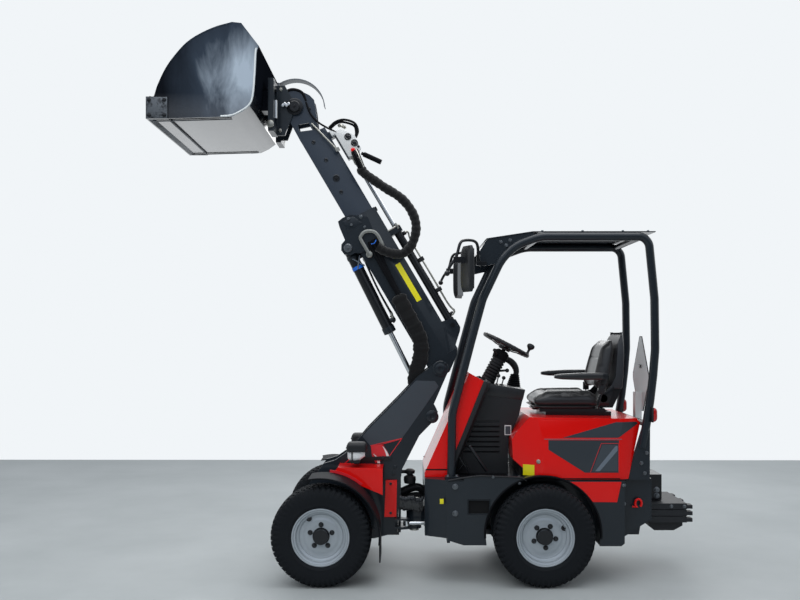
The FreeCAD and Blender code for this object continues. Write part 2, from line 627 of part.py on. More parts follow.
def lamps():
    """Headlamps on arms from the tower."""
    under = 755.7
    lens = cut(rounded_box(294, 402, 200, 302, 700, 790, 22), box(280, 420, 190, 310, under, 800))
    hood_l = cut(rounded_box(288, 410, 194, 308, 730, 812, 24), box(280, 420, 190, 310, 700, under + SEAT))
    arm = fuse(box(334, 366, PLATE_OUT, 260, 680, 700),
               prism_y([(150, 684), (150, 708), (366, 700), (366, 680)], PLATE_OUT, PLATE_OUT + 12))
    keep("headlamps", *both(lens))
    keep("lamp_mounts", *both(fuse(arm, hood_l, box(372, 380, 302, 306, 695, 757),
                                   box(334, 380, 255, 306, 690, 700))))


# ---------------------------------------------------------------- boom
def boom_outer():
    outer = boom_section(hexagon(BOOM_N, BOOM_HALF, BOOM_TOP_HALF), 60, OUTER_END)
    bore = boom_section(hexagon(BOOM_N, BOOM_HALF, BOOM_TOP_HALF, BOOM_WALL), INNER_S[0] - TRAVEL - 35,
                        OUTER_END + 5)
    heel = boom_prism([(60, -65), (60, 158), (20, 130), (-45, 40), (-50, -10), (-30, -48), (0, -60)],
                      -BOOM_HALF, BOOM_HALF)
    hub = boom_ycyl(0, 0, -84, 84, 46)
    face_plate = boom_prism([(1046, 90), (1113, 0), (1119, -49), (1114, -86), (1077, -96), (992, -107),
                             (980, -140), (948, -160), (914, -153), (892, -122), (891, -95), (870, -60),
                             (870, 60)], BOOM_HALF - 1, 84)
    lug = boom_prism([(-10, 60), (140, 226), (160, 240), (215, 240), (238, 215), (250, 150), (60, 100)],
                     30, 42)
    guide = boom_prism([(870, 150), (905, 150), (905, 238), (870, 238)], -36, 36)
    s = fuse(outer, heel, hub, *both(face_plate), *both(lug), guide)
    s = cut(s, bore, boom_ycyl(0, 0, -100, 100, BOOM_PIN_R + FIT),
            boom_ycyl(LIFT_SN[0], LIFT_SN[1], -100, 100, PIN_R), boom_cyl(840, 920, TELE_N, 0, TELE_R),
            boom_ycyl(TELE_BASE, TELE_N, -50, 50, 14), boom_cyl(100, 240, TELE_N, 0, 27))
    keep("boom_outer", s)
    x, z = boom_xz(*LIFT_SN)
    keep("lift_pin", ycyl(x, z, -84, 84, PIN_R))
    tube = fuse(boom_cyl(TELE_BASE, TELE_GLAND, TELE_N, 0, TELE_R),
                boom_ycyl(TELE_BASE, TELE_N, -28, 28, 24), boom_ycyl(TELE_BASE, TELE_N, -46, 46, 14))
    keep("telescope_barrel", cut(tube, boom_cyl(250, 900, TELE_N, 0, 20),
                                 boom_cyl(890, 920, TELE_N, 0, 13 + FIT)))


def boom_inner():
    tube = boom_section(hexagon(INNER_N, INNER_HALF, INNER_TOP_HALF), *INNER_S)
    hollow = boom_section(hexagon(INNER_N, INNER_HALF, INNER_TOP_HALF, INNER_WALL), INNER_S[0] - 5,
                          INNER_S[1] - 8)
    tip = boom_prism([(1560, -32), (1560, 75), (1640, 100), (1700, 110), (1790, 150), (1850, 172),
                      (1890, 162), (1955, 118), (1980, 60), (1960, 8), (1900, -25), (1700, -32)], 48,
                     INNER_HALF)
    window = boom_prism([(1766, 6), (1744, 70), (1692, 69), (1725, -8)], 40, 70)
    carrier = boom_prism([(TELE_EYE, 168), (TELE_EYE, 232), (1465, 232), (1600, 205), (1640, 143),
                          (1592, 143), (1592, 168)], -22, 32)
    s = fuse(cut(tube, hollow), *[cut(t, w) for t, w in zip(both(tip), both(window))], carrier)
    keep("boom_inner", cut(s, boom_ycyl(BUCKET_SN[0], BUCKET_SN[1], -100, 100, PIN_R)))
    keep("telescope_rod", boom_cyl(INNER_S[0] + 65, TELE_EYE, TELE_N, 0, 13))
    x, z = boom_xz(*BUCKET_SN)
    keep("bucket_pin", fuse(ycyl(x, z, -88, 88, PIN_R), ycyl(x, z, 82, 88, 27), ycyl(x, z, -88, -82, 27)))
    block = boom_prism([(1432, 172), (1414, 236), (1440, 268), (1526, 275), (1610, 205), (1636, 150),
                        (1592, 150), (1592, 172)], 32, 72)
    keep("coupler_block", block)


def lift_ram():
    """Lift ram at rest: barrel on the boom's upper pin, rod down to the tower's lower one."""
    q, r = LIFT_Q, boom_xz(*LIFT_SN)
    dx, dz, length = along(r, q)

    def at(d):
        return (r[0] + dx * d, 0, r[1] + dz * d)
    barrel = fuse(cyl(at(0), at(565), 36), cyl(at(545), at(588), 40), ycyl(r[0], r[1], -60, 60, 38))
    keep("lift_barrel", cut(barrel, cyl(at(42), at(560), 28), cyl(at(555), at(600), 17 + FIT),
                            ycyl(r[0], r[1], -70, 70, PIN_R + FIT)))
    rod = fuse(cyl(at(545), at(length - 30), 17), ycyl(q[0], q[1], -28, 28, 36))
    keep("lift_rod", cut(rod, ycyl(q[0], q[1], -40, 40, 22)))


def steer_ram():
    """Steering ram at rest, level beside the centre joint."""
    a, f = V(*STEER_A), V(*STEER_F)
    d = f.sub(a)
    length = d.Length
    d.normalize()

    def at(t):
        return tuple(a.add(V(d).multiply(t)))
    ax, ay, az = STEER_A
    fx, fy, fz = STEER_F
    barrel = fuse(cyl(at(0), at(285), 24), cyl(at(275), at(300), 27), zcyl(ax, ay, az - 25, az + 25, 26))
    keep("steer_barrel", cut(barrel, cyl(at(45), at(290), 18), cyl(at(280), at(310), 11 + FIT),
                             zcyl(ax, ay, az - 30, az + 30, 12 + FIT)))
    rod = fuse(cyl(at(length - 310), at(length - 14), 11), zcyl(fx, fy, fz - 15, fz + 15, 20))
    keep("steer_rod", cut(rod, zcyl(fx, fy, fz - 20, fz + 20, 11)))


def hoses():
    """The sleeve down the boom's side, and the loop that follows the telescope."""
    sleeve = boom_prism([(165, -40), (300, 10), (560, 20), (620, 20), (620, -50), (560, -58), (300, -60),
                         (165, -60)], 75.3, 84)
    keep("hose_sleeve", sleeve)
    line = ((1450, 226, 103.3), (1304, 205, 103.3), (1160, 264, 104), (1037, 325, 106), (924, 340, 108),
            (830, 312, 110), (757, 240, 110), (735, 166, 112), (764, 108, 118), (812, 66, 118),
            (850, 46, 118))
    pts = []
    for s, n, y in line:
        x, z = boom_xz(s, n)
        pts.append((x, y, z))
    keep("hose_loop", tube(pts, LOOP_R, 110))


# ---------------------------------------------------------------- bucket
def bucket_parts():
    x, z = boom_xz(*BUCKET_SN)
    lever = fuse(ycyl(x, z, -40, 40, 42), prism_y([(x - 30, z + 20), (x + 20, z + 36), (x + 30, z + 120),
                                                   (x - 10, z + 120)], -18, 18))
    keep("tilt_lever", cut(lever, ycyl(x, z, -50, 50, PIN_R + FIT)))
    ear = fuse(prism_y([(x - 40, z + 10), (x + 20, z + 60), (x + 60, z + 130), (x + 120, z + 130),
                        (x + 120, z - 180), (x + 60, z - 180), (x + 10, z - 46)], 67, 79),
               ycyl(x, z, 67, 79, 46))
    ear = cut(ear, ycyl(x, z, 60, 90, PIN_R + FIT))
    frame = cut(box(x + 105, x + 140, -255, 255, z - 190, z + 130),
                box(x + 100, x + 145, -75, 75, z - 200, z + 95),
                *both(box(x + 100, x + 145, 110, 215, z - 130, z + 80)))
    keep("quick_coupler", fuse(*both(ear), frame))
    keep("hose_guard", fuse(arch_band(x, z, 180, 186, 56, 176, -40, 40),
                            box(x + 100, x + 112, -40, 40, z + 130, z + 160)))
    back = [(1000, 3252), (899, 3120), (912, 3088), (918, 2965), (929, 2833), (950, 2775), (996, 2741),
            (1053, 2714), (1547, 2700)]
    skin = [(1547, 2718), (1421, 2722), (1060, 2730), (1002, 2756), (961, 2784), (939, 2836), (928, 2966),
            (921, 3090), (910, 3120), (1008, 3245)]
    sheet = prism_y(back + skin, -BUCKET_HALF, BUCKET_HALF)
    brow = [(1530, 2827), (1501, 2827), (1478, 2893), (1433, 2988), (1381, 3062), (1312, 3137),
            (1232, 3194), (1140, 3235), (1054, 3258)]
    cheek = prism_y(back[:-1] + [(1530, 2702)] + brow, BUCKET_HALF - SKIN, BUCKET_HALF)
    wear = box(1421, 1547, BUCKET_HALF - SKIN, BUCKET_HALF + 10, 2700, 2827)
    hooks = box(x + 140, x + 185, 110, 215, z - 60, z + 60)
    keep("bucket", fuse(sheet, *both(cheek), *both(wear), *both(hooks)))


def main():
    for make in (wheels, rear_chassis, side_panels, hood, seat, console, steering_wheel, canopy, tail,
                 front_frame, mudguards, lamps, boom_outer, boom_inner, lift_ram, steer_ram, hoses,
                 bucket_parts):
        make()
    os.makedirs("parts", exist_ok=True)
    for name, shape in PIECES.items():
        shape.translate(V(SHIFT_X, 0, 0))
        shape.exportStep("parts/%s.step" % name)


if __name__ == "__main__":
    main()
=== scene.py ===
"""Looks of a mini wheel loader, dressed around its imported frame.

Lengths in this file are millimetres measured from the centre joint's axis, +X to the
bucket, +Y to the operator's left and +Z up, unless a name or comment says otherwise.
"""

import json
import logging
import random
from dataclasses import dataclass, field
from enum import Enum
from math import copysign, cos, exp, hypot, pi, radians, sin, sqrt
from typing import Callable, Optional, Sequence

import bmesh
import bpy
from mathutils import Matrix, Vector

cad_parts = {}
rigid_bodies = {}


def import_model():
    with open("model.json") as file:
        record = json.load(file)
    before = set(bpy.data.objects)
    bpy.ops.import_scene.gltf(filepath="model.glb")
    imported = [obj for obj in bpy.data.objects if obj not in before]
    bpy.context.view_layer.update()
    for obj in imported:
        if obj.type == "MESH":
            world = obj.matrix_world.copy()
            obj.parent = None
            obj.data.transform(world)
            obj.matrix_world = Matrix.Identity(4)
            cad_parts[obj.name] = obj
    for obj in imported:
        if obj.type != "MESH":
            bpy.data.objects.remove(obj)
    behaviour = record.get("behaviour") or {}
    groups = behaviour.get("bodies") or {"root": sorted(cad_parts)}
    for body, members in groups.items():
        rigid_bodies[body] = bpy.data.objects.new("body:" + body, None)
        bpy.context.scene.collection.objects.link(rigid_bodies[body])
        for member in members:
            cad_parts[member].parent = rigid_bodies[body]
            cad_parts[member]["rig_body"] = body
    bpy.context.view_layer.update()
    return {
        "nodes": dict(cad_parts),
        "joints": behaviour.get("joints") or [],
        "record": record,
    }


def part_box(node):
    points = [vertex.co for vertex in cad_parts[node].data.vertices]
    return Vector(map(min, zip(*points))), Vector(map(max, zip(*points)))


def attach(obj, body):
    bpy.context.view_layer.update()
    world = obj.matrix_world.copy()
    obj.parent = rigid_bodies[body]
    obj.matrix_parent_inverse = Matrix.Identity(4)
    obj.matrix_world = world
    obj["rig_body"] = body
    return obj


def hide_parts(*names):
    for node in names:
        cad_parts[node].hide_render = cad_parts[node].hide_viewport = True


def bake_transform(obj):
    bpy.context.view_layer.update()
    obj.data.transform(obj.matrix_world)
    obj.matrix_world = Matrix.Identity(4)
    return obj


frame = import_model()
LOG = logging.getLogger("wheel_loader")

Point = tuple[float, float, float]
Flat = tuple[float, float]
Tree = bpy.types.NodeTree
Socket = bpy.types.NodeSocket
Thing = bpy.types.Object
MM = 0.001


# ---------------- places in the frame
class Axis(Enum):
    """The direction that a prism or a turned form is drawn along."""

    X = 0
    Y = 1
    Z = 2


class Side(Enum):
    """Left is +Y, as the operator sees it."""

    LEFT = 1
    RIGHT = -1

    @property
    def word(self) -> str:
        """The side's word in node and body names."""
        return self.name.lower()


SIDES = tuple(side.value for side in Side)


def joint_named(name: str) -> dict:
    """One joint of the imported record."""
    return next(joint for joint in frame["joints"] if joint["name"] == name)


CENTRE_X = joint_named("articulation")["pos_m"][0]


def at(x: float, y: float, z: float) -> Vector:
    """A point in millimetres from the centre joint, as the frame's metres."""
    return Vector((x * MM + CENTRE_X, y * MM, z * MM))


def from_frame(place: Sequence[float]) -> Point:
    """A point of the frame in metres, as millimetres from the centre joint."""
    return ((place[0] - CENTRE_X) / MM, place[1] / MM, place[2] / MM)


def node_box(node: str) -> tuple[Point, Point]:
    """A node's lowest and highest corner, in millimetres from the centre joint."""
    low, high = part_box(node)
    return from_frame(low), from_frame(high)


BOOM_PIVOT = from_frame(joint_named("boom_lift")["pos_m"])
BUCKET_PIVOT = from_frame(joint_named("bucket_tilt")["pos_m"])
BOOM_ALONG = Vector(joint_named("telescope")["axis"]).normalized()
BOOM_ACROSS = Vector((-BOOM_ALONG.z, 0.0, BOOM_ALONG.x))


def on_boom(s: float, y: float, n: float) -> Point:
    """A point s along the boom from its pivot and n across it, up and to the rear."""
    place = Vector(BOOM_PIVOT) + BOOM_ALONG * s + BOOM_ACROSS * n
    return (place.x, y, place.z)


# ---------------- drawing forms
class Form:
    """Faces drawn in millimetres, which become one object of the scene."""

    def __init__(self) -> None:
        """Starts with no faces."""
        self.mesh = bmesh.new()

    def loft(self, rings: Sequence[Sequence[Point]], around: bool = False, caps: bool = True) -> "Form":
        """Skins a row of closed rings.

        Args:
            rings: rings with the same number of points.
            around: the last ring joins the first.
            caps: the first and last ring are filled.

        Returns:
            This form, for the next call.
        """
        rows = [[self.mesh.verts.new(at(*p)) for p in ring] for ring in rings]
        pairs = list(zip(rows, rows[1:]))
        if around:
            pairs.append((rows[-1], rows[0]))
        for low, high in pairs:
            count = len(low)
            for i in range(count):
                j = (i + 1) % count
                self.mesh.faces.new((low[i], low[j], high[j], high[i]))
        if caps and not around:
            self.mesh.faces.new(tuple(reversed(rows[0])))
            self.mesh.faces.new(rows[-1])
        return self

    def prism(self, outline: Sequence[Flat], axis: Axis, low: float, high: float) -> "Form":
        """A straight prism of a flat outline.

        Args:
            outline: (X, Z) points for a Y prism, (Y, Z) for an X prism, (X, Y) for a Z prism.
            axis: the prism's direction.
            low: where it starts on that axis.
            high: where it ends.

        Returns:
            This form.
        """
        place: Callable[[Flat, float], Point] = {Axis.X: lambda p, t: (t, p[0], p[1]),
            Axis.Y: lambda p, t: (p[0], t, p[1]), Axis.Z: lambda p, t: (p[0], p[1], t),}[axis]
        return self.loft([[place(p, low) for p in outline], [place(p, high) for p in outline]])

    def box(self, corner: Point, opposite: Point) -> "Form":
        """A box between two opposite corners."""
        (x0, x1), (y0, y1), (z0, z1) = (sorted(pair) for pair in zip(corner, opposite))
        return self.prism([(x0, y0), (x1, y0), (x1, y1), (x0, y1)], Axis.Z, z0, z1)

    def turned(self, profile: Sequence[Flat], centre: Point, along: Sequence[float], steps: int = 48,
            whole: bool = False) -> "Form":
        """A turned form.

        Args:
            profile: (radius, distance along the axis) points.
            centre: where the axis starts.
            along: the axis direction.
            steps: facets in a full turn.
            whole: the profile is a closed section; otherwise its ends are capped on the axis.

        Returns:
            This form.
        """
        axis = Vector(along).normalized()
        side = axis.orthogonal().normalized()
        other = axis.cross(side)
        origin = Vector(centre)

        def ring(turn: float) -> list[Point]:
            """The profile at one turn of the axis."""
            out = side * cos(turn) + other * sin(turn)
            return [tuple(origin + out * r + axis * h) for r, h in profile]

        rows = [ring(turn) for turn in circle(steps)]
        if whole:
            return self.loft(rows, around=True)
        return self.loft([[row[k] for row in rows] for k in range(len(profile))])

    def rod(self, start: Point, end: Point, radius: float, steps: int = 24,
            end_radius: Optional[float] = None) -> "Form":
        """A round bar between two points, tapered if end_radius is given."""
        run = Vector(end) - Vector(start)
        last = radius if end_radius is None else end_radius
        return self.turned([(radius, 0), (last, run.length)], start, run, steps)

    def tube(self, path: Sequence[Point], radius: float | Callable[[float], float],
            steps: int = 16) -> "Form":
        """A round section swept along a path.

        Args:
            path: the points that the section's middle passes through.
            radius: a number, or a function of the length run so far.
            steps: facets round the section.

        Returns:
            This form.
        """
        points = [Vector(p) for p in path]
        runs = [(b - a).normalized() for a, b in zip(points, points[1:])]
        heads = [runs[0]] + [(a + b).normalized() for a, b in zip(runs, runs[1:])] + [runs[-1]]
        side = heads[0].orthogonal().normalized()
        rings, gone = [], 0.0
        for i, (point, head) in enumerate(zip(points, heads)):
            side = (side - head * side.dot(head)).normalized()
            other = head.cross(side)
            gone += (point - points[i - 1]).length if i else 0.0
            r = radius(gone) if callable(radius) else radius
            rings.append([tuple(point + (side * cos(a) + other * sin(a)) * r) for a in circle(steps)])
        return self.loft(rings)

    def ball(self, centre: Point, radius: float, steps: int = 16) -> "Form":
        """A ball."""
        half = [(radius * sin(pi * k / steps), -radius * cos(pi * k / steps)) for k in range(1, steps)]
        return self.turned(half, centre, (0, 0, 1), steps * 2)

    def bolt(self, place: Point, along: Sequence[float], across: float = 17, washer: bool = True) -> "Form":
        """A hexagon bolt head on its washer; `across` is its width across the flats."""
        axis = Vector(along).normalized()
        rise = 0.0
        if washer:
            self.turned([(across * 0.72, 0), (across * 0.72, 1.6), (across * 0.66, 2.2)], place, axis, 24)
            rise = 2.0
        base = Vector(place) + axis * rise
        corner = across / sqrt(3)
        head = [(corner, 0), (corner, across * 0.5), (corner * 0.86, across * 0.62)]
        return self.turned(head, tuple(base), axis, 6)

    def piece(self, name: str, surface: "Surface", body: str = "rear_frame", slot: Optional[str] = None,
            bevel: float = 0.0, smooth: float = 32.0) -> Thing:
        """Makes the object and hangs it on its body.

        Args:
            name: the piece's name.
            surface: its finish.
            body: the body that it moves with.
            slot: the record's material slot, if it isn't the finish's usual one; not used.
            bevel: width of the broken edges, in millimetres.
            smooth: faces that meet at less than this many degrees shade as one.

        Returns:
            The new object.
        """
        bmesh.ops.recalc_face_normals(self.mesh, faces=self.mesh.faces)
        data = bpy.data.meshes.new(name)
        self.mesh.to_mesh(data)
        self.mesh.free()
        thing = bpy.data.objects.new(name, data)
        bpy.context.scene.collection.objects.link(thing)
        shade(thing, smooth, bevel)
        data.materials.append(surface.value.material())
        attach(thing, body)
        LOG.info("%s rides on %s", name, body)
        return thing


def shade(thing: Thing, smooth: float, bevel: float = 0.0) -> None:
    """Breaks an object's edges and shades it smooth up to an angle in degrees."""
    for polygon in thing.data.polygons:
        polygon.use_smooth = True
    if bevel:
        edge = thing.modifiers.new("edges", "BEVEL")
        edge.width, edge.segments, edge.limit_method = bevel * MM, 2, "ANGLE"
        edge.angle_limit = radians(40)
        edge.harden_normals = False
    split = thing.modifiers.new("shading", "EDGE_SPLIT")
    split.split_angle = radians(smooth)


def circle(count: int) -> list[float]:
    """The angles that divide a full turn."""
    return [2 * pi * k / count for k in range(count)]


def blunt(value: float, power: float) -> float:
    """A sine or cosine raised so that a round section turns squarer."""
    return copysign(abs(value) ** power, value)


def arc(centre: Flat, radius: float, start: float, end: float, count: int) -> list[Flat]:
    """Points on an arc, with its angles in degrees."""
    turns = [radians(start + (end - start) * i / count) for i in range(count + 1)]
    return [(centre[0] + radius * cos(t), centre[1] + radius * sin(t)) for t in turns]


def eased(points: Sequence[Point], steps: int = 8) -> list[Point]:
    """A smooth line through points: a Catmull-Rom spline."""
    knots = [Vector(p) for p in points]
    knots = [knots[0] * 2 - knots[1]] + knots + [knots[-1] * 2 - knots[-2]]
    line = []
    for a, b, c, d in zip(knots, knots[1:], knots[2:], knots[3:]):
        for i in range(steps):
            t = i / steps
            line.append(
                tuple(
                0.5 * (2 * b + (c - a) * t + (2 * a - 5 * b + 4 * c - d) * t * t + (
                3 * b - a - 3 * c + d) * t ** 3)))
    line.append(tuple(knots[-2]))
    return line


# ---------------- finishes
def linear(code: str) -> tuple[float, float, float, float]:
    """Turns an sRGB hex code to the linear colour that a shader reads."""
    values = [int(code[i:i + 2], 16) / 255 for i in (1, 3, 5)]
    return (*[v / 12.92 if v <= 0.04045 else ((v + 0.055) / 1.055) ** 2.4 for v in values], 1.0)


def add(tree: Tree, kind: str, inputs: Optional[dict] = None, **settings: object) -> bpy.types.Node:
    """Adds one node.

    Args:
        tree: the material's node tree.
        kind: the node's type name, without its "ShaderNode".
        inputs: socket name or number to a value, or to another node's output.
        settings: the node's own properties.

    Returns:
        The node.
    """
    node = tree.nodes.new("ShaderNode" + kind)
    for key, value in settings.items():
        setattr(node, key, value)
    for key, value in (inputs or {}).items():
        if isinstance(value, Socket):
            tree.links.new(value, node.inputs[key])
        else:
            node.inputs[key].default_value = value
    return node


def ramp(tree: Tree, value: Socket, stops: Sequence[tuple[float, str]]) -> Socket:
    """A colour ramp of (place, sRGB hex) stops, driven by a value."""
    node = add(tree, "ValToRGB", {0: value})
    elements = node.color_ramp.elements
    while len(elements) < len(stops):
        elements.new(0.5)
    for element, (place, code) in zip(elements, stops):
        element.position, element.color = place, linear(code)
    return node.outputs[0]


@dataclass(frozen=True)
class Finish:
    """A surface: its colour, its gloss and the fine relief that its making leaves."""

    name: str
    colour: str
    roughness: float = 0.5
    metallic: float = 0.0
    coat: float = 0.0
    sheen: float = 0.0
    grain_mm: float = 3.0       # distance between the grains of the relief
    relief_mm: float = 0.05     # height of the relief
    tint: float = 0.06          # how far the colour wanders over the surface
    patch_mm: float = 180.0     # size of those patches
    round_mm: float = 1.2       # edges look broken by this radius
    transmission: float = 0.0
    specular: float = 0.5       # strength of the reflection seen head on

    def material(self) -> bpy.types.Material:
        """The finish's material, made once."""
        known = bpy.data.materials.get(self.name)
        if known:
            return known
        made = bpy.data.materials.new(self.name)
        made.use_nodes = True
        tree = made.node_tree
        tree.nodes.clear()
        place = add(tree, "TexCoord").outputs["Object"]
        shader = add(tree, "BsdfPrincipled",
            {"Base Color": self.paint(tree, place), "Roughness": self.gloss(tree, place),
            "Metallic": self.metallic, "Coat Weight": self.gleam(tree, place, self.coat),
            "Coat Roughness": 0.06, "Specular IOR Level": self.gleam(tree, place, self.specular),
            "Sheen Weight": self.sheen, "Sheen Roughness": 0.5, "Transmission Weight": self.transmission,
            "Normal": self.relief(tree, place)})
        add(tree, "OutputMaterial", {"Surface": shader.outputs[0]})
        made.diffuse_color = linear(self.colour)
        return made

    def gleam(self, tree: Tree, place: Socket, full: float) -> Socket | float:
        """A layer's strength over the surface: the same everywhere."""
        return full

    def patches(self, tree: Tree, place: Socket) -> Socket:
        """Slow noise that colour and gloss follow."""
        return add(tree, "TexNoise", {"Vector": place, "Scale": 1 / (self.patch_mm * MM), "Detail": 6.0,
            "Roughness": 0.62}).outputs["Fac"]

    def paint(self, tree: Tree, place: Socket) -> Socket:
        """The colour, a little darker and lighter in patches."""
        fact = self.patches(tree, place)
        base = linear(self.colour)
        low = [c * (1 - self.tint) for c in base[:3]] + [1]
        high = [min(1, c * (1 + self.tint) + self.tint * 0.01) for c in base[:3]] + [1]
        return mix_colour(tree, fact, low, high)

    def gloss(self, tree: Tree, place: Socket) -> Socket:
        """Roughness that varies slightly, as handling and dust leave it."""
        fact = add(tree, "TexNoise", {"Vector": place, "Scale": 1 / (self.patch_mm * 0.4 * MM),
            "Detail": 8.0, "Roughness": 0.7}).outputs["Fac"]
        return add(tree, "MapRange", {"Value": fact, "To Min": max(0.02, self.roughness - 0.06),
            "To Max": min(1.0, self.roughness + 0.08)}).outputs["Result"]

    def relief(self, tree: Tree, place: Socket) -> Socket:
        """Fine relief over edges that look broken."""
        soft = add(tree, "Bevel", {"Radius": self.round_mm * MM}, samples=4).outputs["Normal"]
        height = self.height(tree, place)
        return add(tree, "Bump", {"Height": height, "Distance": self.relief_mm * MM, "Strength": 1.0,
            "Normal": soft}).outputs["Normal"]

    def height(self, tree: Tree, place: Socket) -> Socket:
        """The relief's height: even grain."""
        return add(tree, "TexNoise", {"Vector": place, "Scale": 1 / (self.grain_mm * MM),
            "Detail": 2.0}).outputs["Fac"]


def mix_colour(tree: Tree, factor: Socket, low: Sequence[float], high: Sequence[float]) -> Socket:
    """Mixes two colours, each a value or another node's output."""
    node = add(tree, "Mix", data_type="RGBA")
    tree.links.new(factor, node.inputs[0])
    for socket, value in ((node.inputs[6], low), (node.inputs[7], high)):
        if isinstance(value, Socket):
            tree.links.new(value, socket)
        else:
            socket.default_value = value
    return node.outputs[2]


@dataclass(frozen=True)
class PowderCoat(Finish):
    """Powder coat on steel: an even orange peel that softens what it reflects."""

    roughness: float = 0.36
    coat: float = 0.4
    specular: float = 0.25
    grain_mm: float = 4.0       # the peel is about 2 mm across; drawn at 4 mm so that it shows
    relief_mm: float = 0.03
    round_mm: float = 1.5


@dataclass(frozen=True)
class Enamel(Finish):
    """Two-coat enamel on moulded panels: saturated, with a clear, sharp gloss."""

    roughness: float = 0.3
    coat: float = 0.5
    specular: float = 0.15
    grain_mm: float = 6.0
    relief_mm: float = 0.012
    tint: float = 0.03
    round_mm: float = 3.0


@dataclass(frozen=True)
class Moulded(Finish):
    """Injection-moulded plastic with a spark-eroded grain, which kills the gloss."""

    roughness: float = 0.55
    grain_mm: float = 1.6       # grain is about 0.4 mm; drawn at 1.6 mm so that it shows
    relief_mm: float = 0.06
    round_mm: float = 1.5


@dataclass(frozen=True)
class Rubber(Finish):
    """Vulcanised rubber: matt, with paler bloom in patches."""

    roughness: float = 0.72
    specular: float = 0.06
    grain_mm: float = 2.0
    relief_mm: float = 0.08
    tint: float = 0.25
    patch_mm: float = 60.0


@dataclass(frozen=True)
class Metal(Finish):
    """Bare or plated metal with fine marks of its working."""

    metallic: float = 1.0
    roughness: float = 0.3
    grain_mm: float = 1.2
    relief_mm: float = 0.01
    tint: float = 0.08
    patch_mm: float = 25.0


@dataclass(frozen=True)
class Cast(Finish):
    """Sand casting under thin paint: pitted, half matt."""

    roughness: float = 0.5
    grain_mm: float = 5.0       # sand marks of 1.5 mm, drawn at 5 mm so that they show
    relief_mm: float = 0.5
    tint: float = 0.1
    patch_mm: float = 70.0
    round_mm: float = 3.0


@dataclass(frozen=True)
class Vinyl(Finish):
    """Embossed seat vinyl: a leather-like pebble under a soft sheen."""

    roughness: float = 0.42
    sheen: float = 0.15
    grain_mm: float = 5.0       # pebbles are about 1.5 mm; drawn at 5 mm so that they show
    relief_mm: float = 0.25
    tint: float = 0.08

    def height(self, tree: Tree, place: Socket) -> Socket:
        """Pebbles with creases between them."""
        cells = add(tree, "TexVoronoi", {"Vector": place, "Scale": 1 / (self.grain_mm * MM)},
            feature="SMOOTH_F1")
        return cells.outputs["Distance"]


@dataclass(frozen=True)
class Braid(Finish):
    """Woven nylon sleeve: two crossing sets of threads that catch the light in turn."""

    roughness: float = 0.8
    sheen: float = 0.3
    specular: float = 0.2
    grain_mm: float = 7.0       # threads lie 2 mm apart; drawn at 7 mm so that they show
    relief_mm: float = 1.1
    tint: float = 0.2
    patch_mm: float = 50.0

    def height(self, tree: Tree, place: Socket) -> Socket:
        """Threads in two directions, the higher of the two on top."""
        threads = []
        for lean in (0.9, -0.9):
            turned = add(tree, "VectorRotate", {"Vector": place, "Angle": lean}, rotation_type="Y_AXIS")
            wave = add(tree, "TexWave", {"Vector": turned.outputs[0], "Scale": 0.32 / (self.grain_mm * MM),
                "Distortion": 0.6, "Detail": 1.0}, bands_direction="Z")
            threads.append(wave.outputs["Fac"])
        return add(tree, "Math", {0: threads[0], 1: threads[1]}, operation="MAXIMUM").outputs[0]


@dataclass(frozen=True)
class WornPaint(Finish):
    """Gloss black paint on a bucket, with a painted reflection: a pale streaked patch on each cheek stands
    in for the room's light in the gloss.
    """

    roughness: float = 0.24
    coat: float = 1.0
    grain_mm: float = 8.0
    relief_mm: float = 0.05
    # Colour and middle of the painted reflection on the cheeks.
    haze: str = "#A3B0BE"
    patch_centre: Point = (985.0, 0.0, 2950.0)

    def gleam(self, tree: Tree, place: Socket, full: float) -> Socket | float:
        """Full on the floor that loads polish, and dull above it."""
        height = add(tree, "SeparateXYZ", {"Vector": place}).outputs["Z"]
        low, high = at(0, 0, 2745)[2], at(0, 0, 2850)[2]
        return add(tree, "MapRange", {"Value": height, "From Min": low, "From Max": high, "To Min": full,
            "To Max": 0.0}).outputs["Result"]

    def paint(self, tree: Tree, place: Socket) -> Socket:
        """Black, with a painted reflection low at the rear of each cheek: a pale patch, streaked across."""
        lean = add(tree, "Mapping", {"Vector": place, "Rotation": (0, 0.6, 0), "Scale": (7, 4, 2.6)})
        noise = add(tree, "TexNoise", {"Vector": lean.outputs[0], "Scale": 1.0, "Detail": 7.0,
            "Roughness": 0.6, "Distortion": 0.5})
        streak = add(tree, "MapRange", {"Value": noise.outputs["Fac"], "From Min": 0.3, "From Max": 0.7,
            "To Min": 0.55, "To Max": 1.0})
        x, _, z = at(*self.patch_centre)
        wide, tall = 1.9, 1.8
        spot = add(tree, "Mapping", {"Vector": place, "Location": (-x * wide, 0, -z * tall),
            "Scale": (wide, 0, tall)})
        reflection_falloff = add(tree, "TexGradient", {"Vector": spot.outputs[0]}, gradient_type="SPHERICAL")
        across = add(tree, "SeparateXYZ", {"Vector": place}).outputs["Y"]
        reach = add(tree, "Math", {0: across}, operation="ABSOLUTE").outputs[0]
        cheek = add(tree, "MapRange", {"Value": reach, "From Min": 0.512, "From Max": 0.522})
        patch = add(tree, "Math", {0: cheek.outputs["Result"], 1: reflection_falloff.outputs["Fac"]},
            operation="MULTIPLY")
        both = add(tree, "Math", {0: streak.outputs["Result"], 1: patch.outputs[0]}, operation="MULTIPLY")
        # Black where no reflection is painted, through blue-grey to the pale colour of the painted
        # reflection.
        return ramp(tree, both.outputs[0], [(0.08, self.colour), (0.4, "#333C48"), (0.8, self.haze)])


